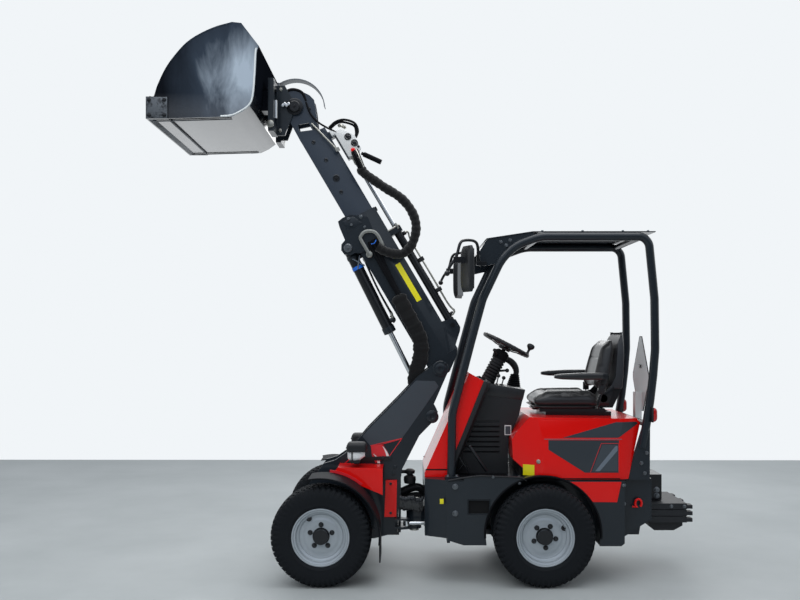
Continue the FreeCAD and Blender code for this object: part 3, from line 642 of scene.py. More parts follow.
@dataclass(frozen=True)
class Worn(Finish):
    """A steel edge with its paint half gone: bare patches and dark ones."""

    roughness: float = 0.5
    metallic: float = 0.55
    grain_mm: float = 3.0
    relief_mm: float = 0.15
    bare: str = "#62676D"

    def paint(self, tree: Tree, place: Socket) -> Socket:
        """Bare metal where the paint has gone."""
        spots = add(tree, "TexNoise", {"Vector": place, "Scale": 22.0, "Detail": 10.0, "Roughness": 0.75})
        return ramp(tree, spots.outputs["Fac"], [(0.4, self.colour), (0.52, self.bare)])


class Surface(Enum):
    """The machine's finishes."""

    FRAME = PowderCoat("powder_coat_blue_grey", "#1C232A")
    # The frame's blue-grey made lighter for the inner boom: a painted reflection of the room on its faces.
    BOOM = PowderCoat("powder_coat_blue_grey_boom", "#2B3440")
    BODY = Enamel("enamel_red", "#E20B05")
    TRIM = Moulded("abs_black", "#17191C")
    SMOOTH_TRIM = Moulded("abs_black_smooth", "#1B1D20", roughness=0.38, relief_mm=0.02)
    TYRE = Rubber("rubber_of_tyres", "#13161A", tint=0.12, specular=0.2)
    WHEEL = Finish("wheel_enamel_silver", "#A9B1B8", 0.33, 0.35, 0.2, grain_mm=2.0, relief_mm=0.015,
        tint=0.03)
    BLACK = PowderCoat("satin_black_paint", "#14161A", roughness=0.33)
    CHROME = Metal("hard_chrome", "#D9DBDD", roughness=0.12, tint=0.02)
    ZINC = Metal("zinc_plate", "#BDBBB2", roughness=0.34)
    DULL_ZINC = Metal("dulled_zinc_plate", "#777B7F", roughness=0.42)
    SEAT_SHELL = Moulded("seat_shell_grey", "#26292E", roughness=0.45)
    SEAT = Vinyl("seat_vinyl_black", "#131417", coat=0.3)
    HOSE = Rubber("hose_rubber", "#131417", roughness=0.55, tint=0.1)
    SLEEVE = Braid("nylon_braid", "#0C0D0F")
    LENS = Finish("polycarbonate_clear", "#F6F8FA", 0.12, coat=0.6, grain_mm=9.0, relief_mm=0.2, tint=0.05,
        patch_mm=30.0, transmission=0.06)
    GUARD = Finish("moulded_guard_black", "#14171B", 0.55, grain_mm=2.0, relief_mm=0.06, specular=0.12)
    WRAP = Finish("crumpled_wrap_black", "#15171B", 0.22, coat=0.6, grain_mm=34.0, relief_mm=9.0, tint=0.2)
    RED_LENS = Finish("polycarbonate_red", "#C4100E", 0.16, coat=0.6, grain_mm=6.0, relief_mm=0.15,
        transmission=0.15)
    VALVE_CAP = Moulded("nylon_white", "#D8DADB", roughness=0.4, relief_mm=0.02, tint=0.03)
    SHEET = Finish("coated_sheet_light_grey", "#D6DCDE", 0.42, coat=0.1, relief_mm=0.02, tint=0.03)
    CASTING = Cast("painted_casting", "#181A1E")
    BUCKET = WornPaint("bucket_enamel_black", "#11141A")
    EDGE = Worn("cutting_edge_steel", "#2A2C30")
    FILM_CHARCOAL = Finish("vinyl_film_charcoal", "#2A3138", 0.32, coat=0.3, relief_mm=0.01, tint=0.03)
    FILM_GREY = Finish("vinyl_film_grey", "#3B424A", 0.38, coat=0.2, relief_mm=0.01, tint=0.03)
    FILM_PALE = Finish("vinyl_film_pale", "#6A7480", 0.35, coat=0.2, relief_mm=0.01, tint=0.03)
    FILM_RED = Finish("vinyl_film_red", "#D2202A", 0.32, coat=0.3, relief_mm=0.01, tint=0.03)
    FILM_WHITE = Finish("vinyl_film_white", "#E6E7E8", 0.35, coat=0.2, relief_mm=0.01, tint=0.02)
    FILM_YELLOW = Finish("vinyl_film_yellow", "#E6DC10", 0.35, coat=0.2, relief_mm=0.01, tint=0.03)
    TIE = Moulded("cable_tie_blue", "#1F6BD6", roughness=0.4)
    GLASS = Metal("mirror_glass", "#3A3F44", roughness=0.03, relief_mm=0.001, tint=0.0)
    # Near-black with no gloss: painted shade, put in gaps and hollows where the light doesn't reach.
    VOID = Finish("unlit_hollow", "#050506", 0.95, relief_mm=0.0)


SLOT_SURFACE = {"blue_grey_paint": Surface.FRAME, "red_paint": Surface.BODY, "black_plastic": Surface.TRIM,
    "tyre_rubber": Surface.TYRE, "rim_silver": Surface.WHEEL, "black_metal": Surface.BLACK,
    "chrome_rod": Surface.CHROME, "zinc_steel": Surface.ZINC, "seat_vinyl": Surface.SEAT,
    "hose_black": Surface.SLEEVE, "lamp_clear": Surface.LENS, "lamp_red": Surface.RED_LENS,
    "block_grey": Surface.VALVE_CAP, "plate_grey": Surface.SHEET, "cast_black": Surface.CASTING,}


OTHER_SLOTS = {"black_plastic": (Surface.SMOOTH_TRIM, Surface.SEAT_SHELL, Surface.HOSE, Surface.VALVE_CAP,
    Surface.FILM_CHARCOAL, Surface.FILM_PALE, Surface.FILM_GREY, Surface.VOID, Surface.GLASS, Surface.TIE),
    "red_paint": (Surface.FILM_RED,), "plate_grey": (Surface.FILM_WHITE, Surface.FILM_YELLOW),
    "zinc_steel": (Surface.DULL_ZINC, Surface.CHROME), "hose_black": (Surface.WRAP,),
    "black_metal": (Surface.BUCKET, Surface.SHEET, Surface.EDGE), }
USUAL_SLOT = {surface: slot for slot, surface in SLOT_SURFACE.items()}
USUAL_SLOT.update({surface: slot for slot, surfaces in OTHER_SLOTS.items() for surface in surfaces})


class FramePaint:
    """Gives every CAD node its finish; the inner boom's and the bucket's carry painted reflections."""

    special: dict[str, Surface] = {"bucket": Surface.BUCKET, "hose_guard": Surface.DULL_ZINC,
        "boom_inner": Surface.BOOM, "mudguards": Surface.GUARD}

    def dress(self) -> None:
        """Replaces the imported materials and shades the imported meshes."""
        for entry in frame["record"]["subparts"]:
            node = frame["nodes"].get(entry["node"])
            if node is None:
                continue
            surface = self.special.get(entry["node"], SLOT_SURFACE[entry["material_slot"]])
            node.data.materials.clear()
            node.data.materials.append(surface.value.material())
            if "custom_normal" in node.data.attributes:
                node.data.attributes.remove(node.data.attributes["custom_normal"])
            weld = node.modifiers.new("joined", "WELD")
            weld.merge_threshold = 0.00002
            shade(node, 30.0)


# ---------------- wheels
@dataclass
class RoadWheel:
    """One wheel: a turf tyre on a dished steel rim."""

    end: str
    side: Side
    pitches: int = 54           # tread blocks round the tyre
    tread_depth: float = 9.0
    flange: float = 168.0
    bead: float = 150.0
    nut_circle: float = 66.5
    cap: float = 46.0
    centre: Point = field(init=False)
    radius: float = field(init=False)
    half: float = field(init=False)
    valve_turn: float = field(init=False)       # degrees about the axle, as the machine stands
    nut_turn: float = field(init=False)

    def __post_init__(self) -> None:
        """Takes the wheel's place from its tyre's box."""
        low, high = node_box(self.node("tyre"))
        self.centre = tuple((a + b) / 2 for a, b in zip(low, high))
        self.radius = (high[2] - low[2]) / 2
        self.half = (high[1] - low[1]) / 2
        self.valve_turn, self.nut_turn = (55.0, 90.0) if self.end == "front" else (157.0, 120.0)

    def node(self, word: str) -> str:
        """The name of one of this wheel's nodes or its body."""
        return f"{self.end}_{self.side.word}_{word}"

    def build(self) -> None:
        """Makes the tyre and the rim."""
        tyre = self.tyre().piece(self.node("tyre_tread"), Surface.TYRE, self.node("wheel"), bevel=0.9)
        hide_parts(self.node("tyre"))
        rim = self.rim().piece(self.node("wheel_disc"), Surface.WHEEL, self.node("wheel"), smooth=24)
        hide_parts(self.node("rim"))
        self.hub().piece(self.node("hub_cap"), Surface.SMOOTH_TRIM, self.node("wheel"), slot="black_metal",
            smooth=30)

    def tyre(self) -> Form:
        """The carcass with its tread blocks."""
        crown = self.radius - self.tread_depth
        half = [(self.bead + 0.5, 80), (self.flange - 8, 87), (self.flange + 1, 92), (self.flange + 5, 98),
            (182, 102), (186, 105.2), (190, 104.4), (206, 106.6), (224, self.half - 0.6),
            (240, self.half - 0.8), (254, 104.5), (266, 99), (crown - 5, 88), (crown - 1, 70), (crown, 50),
            (crown, 0)]
        profile = half + [(r, -y) for r, y in reversed(half[:-1])]
        form = Form().turned(profile, self.centre, (0, 1, 0), self.pitches * 2, whole=True)
        step = 2 * pi / self.pitches
        for k in range(self.pitches):
            turn = k * step
            for sign in (1, -1):
                offset = 0.5 * step if sign < 0 else 0.0
                self.shoulder_lug(form, turn + offset, step, sign)
                self.block(form, turn + offset + 0.5 * step, step * 0.62, sign * 37, sign * 66,
                    sign * 0.24 * step)
            self.block(form, turn, step * 0.58, 3, 31, -0.22 * step)
            self.block(form, turn + 0.5 * step, step * 0.58, -31, -3, -0.22 * step)
        return form

    def spot(self, radius: float, turn: float, y: float) -> Point:
        """A point of the tyre at a radius, a turn about the axle and a distance from the middle."""
        x0, y0, z0 = self.centre
        return (x0 + radius * cos(turn), y0 + y, z0 + radius * sin(turn))

    def crown_radius(self, y: float) -> float:
        """The tread's outer radius across the tyre."""
        return self.radius - 7.0 * (max(0.0, abs(y) - 46) / 50) ** 2

    def block(self, form: Form, turn: float, width: float, y0: float, y1: float, lean: float) -> None:
        """One tread block, leaning by `lean` radians from its inner to its outer end."""
        base = self.radius - self.tread_depth - 4
        rings = []
        for height, grow in ((0.0, 1.14), (1.0, 1.0)):
            ring = []
            for y, shift, sense in ((y0, 0.0, -1), (y1, lean, -1), (y1, lean, 1), (y0, 0.0, 1)):
                top = self.crown_radius(y)
                ring.append(self.spot(base + (top - base) * height, turn + shift + sense * width * grow / 2,
                    y))
            rings.append(ring)
        form.loft(rings)

    def shoulder_lug(self, form: Form, turn: float, step: float, sign: int) -> None:
        """One lug that wraps from the tread onto the side wall."""
        inner = [(self.radius - 22, 72), (self.radius - 27, 90), (258, 100), (236, 105)]
        outer = [(self.crown_radius(72), 72), (self.crown_radius(90) - 1.5, 91), (264, 104.5),
            (237, self.half)]
        width = step * 0.58
        rings = []
        for shift in (-0.5, 0.5):
            ring = [self.spot(r, turn + shift * width, sign * y) for r, y in inner]
            ring += [self.spot(r, turn + shift * width * 0.92, sign * y) for r, y in reversed(outer)]
            rings.append(ring)
        form.loft(rings)

    def rim(self) -> Form:
        """The pressed rim and its dished disc, with the pocket for the valve."""
        s = self.side.value
        x0, y0, z0 = self.centre
        profile = [(self.flange, 89), (self.flange, 93), (165, 95), (160, 94), (157, 90), (155.5, 86),
            (151, 84), (147, 83), (145.5, 80), (144.5, 62), (141, 58), (133, 55.5), (129, 52), (127, 46),
            (124, 43.5), (118, 42), (112, 41), (106, 41.5), (100, 44), (92, 46), (80, 46.5), (56, 46.5),
            (52, 48), (50, 48), (50, 40), (98, 36), (121, 34), (124, 20), (124, -30), (145, -46),
            (145, -84), (152, -93), (165, -95), (self.flange, -93), (self.flange, -89), (156, -86),
            (148, -80), (148, -45), (128, -28), (128, 28), (148, 46), (148, 80), (156, 86)]
        form = Form().turned([(r, s * y) for r, y in profile], self.centre, (0, 1, 0), 96, whole=True)
        pocket = radians(self.valve_turn)
        middle = (x0 + 124 * cos(pocket), y0 + s * 43, z0 + 124 * sin(pocket))
        form.turned([(24, 0), (24, 4), (21, 5.5), (18, 4), (18, 0)], middle, (0, s, 0), 28, whole=True)
        return form

    def hub(self) -> Form:
        """Wheel nuts, the hub cap with its dimple and the valve."""
        s = self.side.value
        x0, y0, z0 = self.centre
        face = y0 + s * 46
        form = Form()
        for x, z in arc((x0, z0), self.nut_circle, self.nut_turn, self.nut_turn + 360, 5)[:-1]:
            form.turned([(13.5, 0), (15, 1), (15, 3), (11.5, 4)], (x, face, z), (0, s, 0), 24)
            form.turned([(11, 3), (11, 13), (8.5, 16)], (x, face, z), (0, s, 0), 6)
        cap = [(self.cap, -6), (self.cap, 8), (self.cap - 3, 12), (20, 14), (9, 13), (6, 10)]
        form.turned(cap, (x0, face, z0), (0, s, 0), 48)
        pocket = radians(self.valve_turn)
        x, z = x0 + 124 * cos(pocket), z0 + 124 * sin(pocket)
        form.turned([(17.5, 0), (17.5, 1.2)], (x, y0 + s * 43, z), (0, s, 0), 28)
        form.rod((x + 4, y0 + s * 44, z - 4), (x - 2, y0 + s * 64, z + 2), 4.2, 14)
        return form


# ---------------- seat
@dataclass
class Seat:
    """The operator's seat: a foam cushion and back in one vinyl skin, and a hard shell behind."""

    body: str = "rear_frame"
    voxel: float = 6.0          # remeshing size before the cloth is blown up
    swell: float = 9.0          # how far a point of the skin may move
    frames: int = 20

    def build(self) -> None:
        """Makes every piece of the seat."""
        self.cushion()
        self.back()
        self.shell()
        self.arms()
        self.base()

    def cushion(self) -> None:
        """The seat cushion, with raised sides and a rolled front edge."""
        low, high = node_box("seat_cushion")
        front, rear = high[0] - 6, low[0] + 2
        floor, crown = low[2] + 0.4, high[2]
        half = high[1] - 6
        rings = []
        stations = 22
        for k in range(stations + 1):
            t = k / stations
            x = rear + (front - rear) * t
            nose = max(0.0, (t - 0.78) / 0.22)
            tail = max(0.0, (0.12 - t) / 0.12)
            width = half - 26 * nose ** 2 - 22 * tail ** 2
            top = crown - 30 - 24 * nose ** 2.2 - 6 * t - 10 * tail
            rings.append(self.dished(x, width, floor + 30 * nose ** 3, top,
                24 * (1 - 0.7 * nose) * (1 - 0.5 * tail)))
        pad = self.blown("seat_cushion_pad", rings)
        self.sew(pad, lambda p: abs(abs(p[1]) - half * 0.62) if p[2] > floor + 35 else 99.0, 7.0, 7.0)
        self.sew(pad, lambda p: abs(p[0] - (rear + (front - rear) * 0.70))
            if p[2] > floor + 35 and abs(p[1]) < half * 0.62 else 99.0, 5.0, 6.0)
        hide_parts("seat_cushion")
        welt = Form()
        welt.tube(self.round_plan(rear + 12, front - 4, half - 2, floor + 9), 4.0, 10)
        welt.piece("seat_cushion_welt", Surface.SMOOTH_TRIM, slot="seat_vinyl")
        pan = Form().loft([self.ring_plan(rear + 4, front - 14, half - 14, floor - 0.2),
            self.ring_plan(rear + 4, front - 8, half - 6, floor + 7)])
        pan.piece("seat_pan", Surface.SMOOTH_TRIM)

    @staticmethod
    def ring_plan(rear: float, front: float, half: float, z: float) -> list[Point]:
        """A rounded rectangle seen from above."""
        r = 60.0
        corners = ((front - r, half - r, 0), (rear + r, half - r, 90), (rear + r, -half + r, 180),
            (front - r, -half + r, 270))
        return [(x, y, z) for cx, cy, start in corners for x, y in arc((cx, cy), r, start, start + 90, 6)]

    def round_plan(self, rear: float, front: float, half: float, z: float) -> list[Point]:
        """The same rectangle as a closed line."""
        ring = self.ring_plan(rear, front, half, z)
        return ring + ring[:1]

    @staticmethod
    def dished(x: float, half: float, floor: float, top: float, bolster: float) -> list[Point]:
        """One section of a pad: flat below, dished above between two raised sides."""
        ring = []
        count = 40
        for k in range(count):
            a = 2 * pi * k / count
            c, s = cos(a), sin(a)
            y = half * blunt(c, 0.55)
            rise = blunt(s, 0.6)
            if s <= 0:
                z = (floor + top) / 2 + rise * (top - floor) / 2
            else:
                side = exp(-((abs(y) / half - 0.8) / 0.17) ** 2)
                z = (floor + top) / 2 + rise * ((top - floor) / 2 + bolster * side)
            ring.append((x, y, z))
        return ring

    def back(self) -> None:
        """The backrest cushion: narrow at the top, its sides wrapping forward."""
        low, high = node_box("seat_back")
        base, top = low[2] + 2, high[2] - 4
        rings = []
        stations = 22
        for k in range(stations + 1):
            t = k / stations
            z = base + (top - base) * t
            lean = 118 * t ** 1.25
            crown = max(0.0, (t - 0.8) / 0.2)
            foot = max(0.0, (0.1 - t) / 0.1)
            half = (high[1] - 8) * (1 - 0.2 * t ** 1.6) - 30 * crown ** 2 - 8 * foot
            front = high[0] - 26 - lean * 0.62 - 16 * crown ** 2 - 10 * foot
            rear = low[0] + 62 - 44 * min(1.0, t * 1.3)
            rings.append(self.hugging(z, half, rear, front, 22 * (1 - 0.6 * crown)))
        pad = self.blown("seat_back_pad", rings)
        mid = (base + top) / 2
        self.sew(pad, lambda p: abs(abs(p[1]) - 128 + 0.07 * (p[2] - mid)) if p[0] > low[0] + 55 else 99.0,
            7.0, 7.0)
        self.sew(pad, lambda p: abs(p[2] - (base + (top - base) * 0.62))
            if p[0] > low[0] + 55 and abs(p[1]) < 128 else 99.0, 5.0, 6.0)
        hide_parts("seat_back")

    @staticmethod
    def hugging(z: float, half: float, rear: float, front: float, bolster: float) -> list[Point]:
        """One level of the backrest: flat behind, its sides forward."""
        ring = []
        count = 40
        for k in range(count):
            a = 2 * pi * k / count
            c, s = cos(a), sin(a)
            y = half * blunt(c, 0.55)
            rise = blunt(s, 0.6)
            side = exp(-((abs(y) / half - 0.8) / 0.18) ** 2) if s > 0 else 0.0
            x = (rear + front) / 2 + rise * ((front - rear) / 2 + bolster * side)
            ring.append((x, y, z))
        return ring

    def blown(self, name: str, rings: Sequence[Sequence[Point]]) -> Thing:
        """Skins the rings and blows the skin up like a stuffed cover.

        Args:
            name: the piece's name.
            rings: sections of the slack shape.

        Returns:
            The finished pad.
        """
        form = Form().loft(rings)
        bmesh.ops.recalc_face_normals(form.mesh, faces=form.mesh.faces)
        data = bpy.data.meshes.new(name)
        form.mesh.to_mesh(data)
        form.mesh.free()
        pad = bpy.data.objects.new(name, data)
        bpy.context.scene.collection.objects.link(pad)
        remesh = pad.modifiers.new("even", "REMESH")
        remesh.mode, remesh.voxel_size = "VOXEL", self.voxel * MM
        self.settle(pad)
        self.inflate(pad)
        fine = pad.modifiers.new("soft", "SMOOTH")
        fine.factor, fine.iterations = 0.5, 4
        self.settle(pad)
        for polygon in pad.data.polygons:
            polygon.use_smooth = True
        pad.data.materials.append(Surface.SEAT.value.material())
        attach(pad, self.body)
        return pad

    def inflate(self, pad: Thing) -> None:
        """Runs the cloth and keeps its last frame, with every point's travel capped."""
        rest = [v.co.copy() for v in pad.data.vertices]
        cloth = pad.modifiers.new("stuffing", "CLOTH")
        cloth.settings.use_pressure = True
        cloth.settings.uniform_pressure_force = 4.0
        cloth.settings.quality = 4
        cloth.settings.effector_weights.gravity = 0.0
        cloth.settings.tension_stiffness = cloth.settings.compression_stiffness = 25.0
        cloth.point_cache.frame_start, cloth.point_cache.frame_end = 1, self.frames
        for frame_number in range(1, self.frames + 1):
            bpy.context.scene.frame_set(frame_number)
        self.settle(pad)
        bpy.context.scene.frame_set(1)
        for vertex, start in zip(pad.data.vertices, rest):
            move = vertex.co - start
            if move.length > self.swell * MM:
                vertex.co = start + move.normalized() * self.swell * MM

    @staticmethod
    def settle(thing: Thing) -> None:
        """Applies every modifier of an object to its mesh."""
        graph = bpy.context.evaluated_depsgraph_get()
        made = bpy.data.meshes.new_from_object(thing.evaluated_get(graph))
        thing.modifiers.clear()
        old = thing.data
        thing.data = made
        bpy.data.meshes.remove(old)

    @staticmethod
    def sew(pad: Thing, distance: Callable[[Point], float], depth: float, width: float) -> None:
        """Pulls the skin in along a seam.

        Args:
            pad: the pad.
            distance: how far a point is from the seam, in millimetres.
            depth: how deep the seam is.
            width: how far its pull reaches.
        """
        for vertex in pad.data.vertices:
            gap = distance(from_frame(vertex.co)) / width
            if gap < 3:
                vertex.co -= vertex.normal * depth * exp(-gap * gap) * MM

    def shell(self) -> None:
        """The hard rear shell, taller than the cushion and leaning back to a rounded top."""
        low, high = node_box("seat_shell")
        levels = ((0.0, 16, 112, 196), (0.2, 8, 74, 196), (0.6, 2, 62, 190), (0.78, 2, 58, 178),
            (0.9, 3, 38, 158), (0.98, 7, 20, 132))
        rings = []
        for t, back, front, half in levels:
            z = low[2] + 1 + (high[2] - low[2] - 2) * t
            spans = [half * (-1 + 2 * i / 16) for i in range(17)]
            outer = [(low[0] + back + 22 * abs(y / half) ** 4, y, z) for y in spans]
            inner = [(low[0] + front, y, z) for y in reversed(spans)]
            rings.append(outer + inner)
        form = Form().loft(rings)
        made = form.piece("seat_back_shell", Surface.SEAT_SHELL, bevel=5.0, smooth=45)
        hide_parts("seat_shell")
        ribs = Form()
        for z in (1190, 1250, 1310, 1370):
            ribs.box((low[0] - 1, -90, z), (low[0] + 10, 90, z + 10))
        ribs.piece("seat_shell_ribs", Surface.SEAT_SHELL, bevel=3.0)

    def arms(self) -> None:
        """Folding armrests: a padded top on a steel bracket."""
        form = Form()
        for s in SIDES:
            rings = []
            for k in range(13):
                t = k / 12
                x = -1128 + 288 * t
                nose = max(0.0, (t - 0.8) / 0.2)
                wide = 26 - 10 * nose ** 2
                deep = 22 - 12 * max(0.0, t - 0.45) - 6 * nose ** 2
                middle = 1210 - 3 * t
                rings.append([(x, s * (270 + wide * blunt(cos(a), 0.6)), middle + deep * blunt(sin(a), 0.7))
                    for a in circle(28)])
            form.loft(rings)
        pads = form.piece("armrest_pads", Surface.SEAT, smooth=60)
        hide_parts("armrests")
        hinge = Form()
        for s in SIDES:
            hinge.turned([(24, 0), (24, 10), (20, 14)], (-1152, s * 226, 1208), (0, s, 0), 32)
            hinge.rod((-1152, s * 232, 1208), (-1152, s * 290, 1208), 11)
            hinge.box((-1160, s * 262, 1190), (-1120, s * 292, 1226))
            hinge.turned([(13, 0), (13, 5), (9, 8)], (-1110, s * 262, 1184), (0, 0, -1), 20)
        hinge.piece("armrest_hinges", Surface.BLACK, bevel=2.0)

    def base(self) -> None:
        """What shows under the cushion: slide rails, a folded skirt, the recliner and a lap belt."""
        rails = Form()
        for s in SIDES:
            rails.box((-1150, s * 150, 992), (-770, s * 172, 1008))
            rails.turned([(30, 0), (30, 8), (24, 12)], (-1150, s * 196, 1072), (0, s, 0), 32)
            rails.loft(
                [[(-1180, s * 200, 1030), (-1120, s * 200, 1028), (-1112, s * 200, 1062),
                (-1150, s * 200, 1100), (-1196, s * 200, 1150), (-1214, s * 200, 1140)],
                [(-1180, s * 208, 1030), (-1120, s * 208, 1028), (-1112, s * 208, 1062),
                (-1150, s * 208, 1100), (-1196, s * 208, 1150), (-1214, s * 208, 1140)]])
        rails.rod((-772, -90, 1000), (-742, -90, 1000), 6).rod((-742, -90, 1000), (-742, 90, 1000),
            6).rod((-742, 90, 1000), (-772, 90, 1000), 6)
        rails.piece("seat_rails", Surface.BLACK, bevel=1.0)
        skirt = Form()
        folds = []
        for k in range(9):
            z = 968 + 3 * k
            out = 184 + (6 if k % 2 else 0)
            folds.append([(x, y, z) for x, y, _ in self.ring_plan(-1190 - out + 184, -806 + out - 184, out,
                z)])
        skirt.loft(folds)
        skirt.piece("seat_skirt", Surface.HOSE, smooth=20)
        belt = Form()
        for s in SIDES:
            belt.rod((-1110, s * 236, 1010), (-1132, s * 238, 1104), 4, 12)
            belt.box((-1150, s * 232, 1100), (-1112, s * 244, 1152))
        belt.piece("seat_belt_stalks", Surface.TRIM, bevel=3.0)


# ---------------- steering and levers
@dataclass
class Controls:
    """Steering wheel, its column and the levers round it."""

    wheel_radius: float = 148.0
    grip: float = 13.0

    def __post_init__(self) -> None:
        """Reads the wheel's place and lean from its joint."""
        turn = joint_named("steering_wheel_turn")
        axis = Vector(turn["axis"]).normalized()
        self.up = axis if axis.z > 0 else -axis
        low, high = node_box("steering_wheel")
        self.centre = Vector(from_frame(turn["pos_m"]))
        reach = Vector(((low[0] + high[0]) / 2, 0, (low[2] + high[2]) / 2)) - self.centre
        self.centre = self.centre + self.up * (reach.dot(self.up))
        self.across = Vector((self.up.z, 0, -self.up.x))

    def spot(self, along: float, out: float = 0.0, turn: float = 0.0) -> Point:
        """A point on the column's axis, or `out` from it at a turn in degrees."""
        a = radians(turn)
        return tuple(
            self.centre + self.up * along + (self.across * cos(a) + Vector((0, 1, 0)) * sin(a)) * out)

    def build(self, wheel_level: float) -> None:
        """Makes everything; `wheel_level` is the rim's place along the axis."""
        self.wheel(wheel_level)
        self.column(wheel_level)
        self.joystick()
        self.small_levers()
        self.pedals()

    def wheel(self, level: float) -> None:
        """The wheel: a gripped rim, three pressed spokes, a boss and a spinner knob."""
        form = Form()
        rings = []
        for k in range(72):
            turn = 360 * k / 72
            swell = self.grip * (1 + 0.045 * cos(radians(turn) * 24))
            centre = Vector(self.spot(level, self.wheel_radius, turn))
            out = (centre - Vector(self.spot(level))).normalized()
            rings.append([tuple(centre + (out * cos(a) + self.up * sin(a)) * swell) for a in circle(16)])
        form.loft(rings, around=True)
        form.turned([(36, -34), (40, -26), (40, -10), (34, -3), (12, 0)], self.spot(level), tuple(self.up),
            40)
        for turn in (90, 210, 330):
            side = Vector((0, 1, 0)) * cos(radians(turn)) - self.across * sin(radians(turn))
            rings = []
            for out, drop, wide, thick in ((30, -20, 17, 5), (70, -18, 14, 4.5), (115, -8, 12, 4.5),
                    (self.wheel_radius - 4, 0, 13, 6)):
                middle = Vector(self.spot(level + drop, out, turn))
                rings.append([tuple(middle + side * wide * c + self.up * thick * s)
                    for c, s in ((cos(a), sin(a)) for a in circle(12))])
            form.loft(rings)
        form.turned([(11, -4), (11, 14), (8, 18), (8, 36), (14, 42), (23, 52), (25, 62), (21, 72),
            (10, 77)], self.spot(level, self.wheel_radius, 155), tuple(self.up), 28)
        wheel = form.piece("steering_wheel_rim", Surface.SMOOTH_TRIM, "steering_wheel", smooth=50)
        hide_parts("steering_wheel")

    def column(self, level: float) -> None:
        """The column's folded boot, its tilt clamp and the stalks."""
        form = Form()
        profile = []
        for k in range(17):
            profile.append((42 - 8 * k / 16 + (5 if k % 2 else 0), -265 + 10 * k))
        form.turned(profile, self.spot(level), tuple(self.up), 36)
        form.turned([(30, -108), (46, -100), (50, -78), (46, -52), (30, -40)], self.spot(level),
            tuple(self.up), 32)
        form.piece("column_boot", Surface.HOSE, smooth=40)
        stalks = Form()
        for turn, reach in ((60, 120), (250, 110)):
            stalks.rod(self.spot(level - 84, 40, turn), self.spot(level - 66, reach, turn), 6, 14, 5)
            stalks.ball(self.spot(level - 66, reach, turn), 11, 12)
        stalks.rod(self.spot(level - 170, 30, 180), self.spot(level - 140, 78, 180), 7)
        stalks.ball(self.spot(level - 140, 80, 180), 13, 12)
        stalks.piece("column_stalks", Surface.TRIM, smooth=50)

    def joystick(self) -> None:
        """The loader lever: a folded boot and a curved grip with buttons."""
        y = -135.0
        profile = []
        for k in range(15):
            profile.append((44 - 20 * k / 14 + (5 if k % 2 else 0), 6.0 * k))
        form = Form().turned(profile, (-642, y, 1122), (-0.12, 0, 1), 36)
        form.piece("joystick_boot", Surface.HOSE, smooth=40)
        path = eased([(-652, y, 1190), (-661, y, 1222), (-648, y, 1262), (-618, y, 1292), (-584, y, 1306),
            (-566, y, 1306)], 6)
        grip = Form().tube(path, lambda gone: 17 + 5 * sin(min(pi, gone / 60)) ** 2, 20)
        grip.ball(path[-1], 20, 14)
        made = grip.piece("joystick_grip", Surface.TRIM, smooth=60)
        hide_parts("controls")
        keys = Form()
        for x, z in ((-606, 1318), (-588, 1325)):
            keys.turned([(7, 0), (7, 5), (5, 7)], (x, y, z), (-0.3, 0, 1), 18)
        keys.piece("joystick_keys", Surface.VALVE_CAP)

    def small_levers(self) -> None:
        """Auxiliary levers with knobs on the console's top, and the switch panel."""
        form = Form()
        for x, y, tall in ((-505, 120, 62), (-540, 96, 48), (-500, -60, 54)):
            form.turned([(17, 0), (15, 8), (9, 14)], (x, y, 1140), (-0.1, 0, 1), 24)
            form.rod((x, y, 1140), (x - 14, y, 1140 + tall), 4, 12)
            form.ball((x - 15, y, 1144 + tall), 12, 12)
        for k in range(4):
            form.box((-480 - 24 * k, -20, 1150 - 5 * k), (-464 - 24 * k, 14, 1160 - 5 * k))
        form.piece("console_levers", Surface.TRIM, bevel=1.5, smooth=50)

    def pedals(self) -> None:
        """The drive pedal: a ribbed pad on its arm, on each side of the console."""
        form = Form()
        for s in SIDES:
            form.loft(
                [[(-262, s * 205, 738), (-262, s * 275, 738), (-332, s * 275, 628), (-332, s * 205, 628)],
                [(-256, s * 205, 734), (-256, s * 275, 734), (-326, s * 275, 624), (-326, s * 205, 624)]])
            for k in range(7):
                x, z = -268 - 9 * k, 736 - 15 * k
                form.box((x - 5, s * 208, z - 4), (x + 1, s * 272, z + 2))
            form.rod((-298, s * 240, 680), (-250, s * 240, 620), 8)
            form.rod((-330, s * 300, 790), (-430, s * 300, 640), 9)
            form.ball((-330, s * 300, 790), 11, 12)
        form.piece("pedals", Surface.BLACK, bevel=1.2)


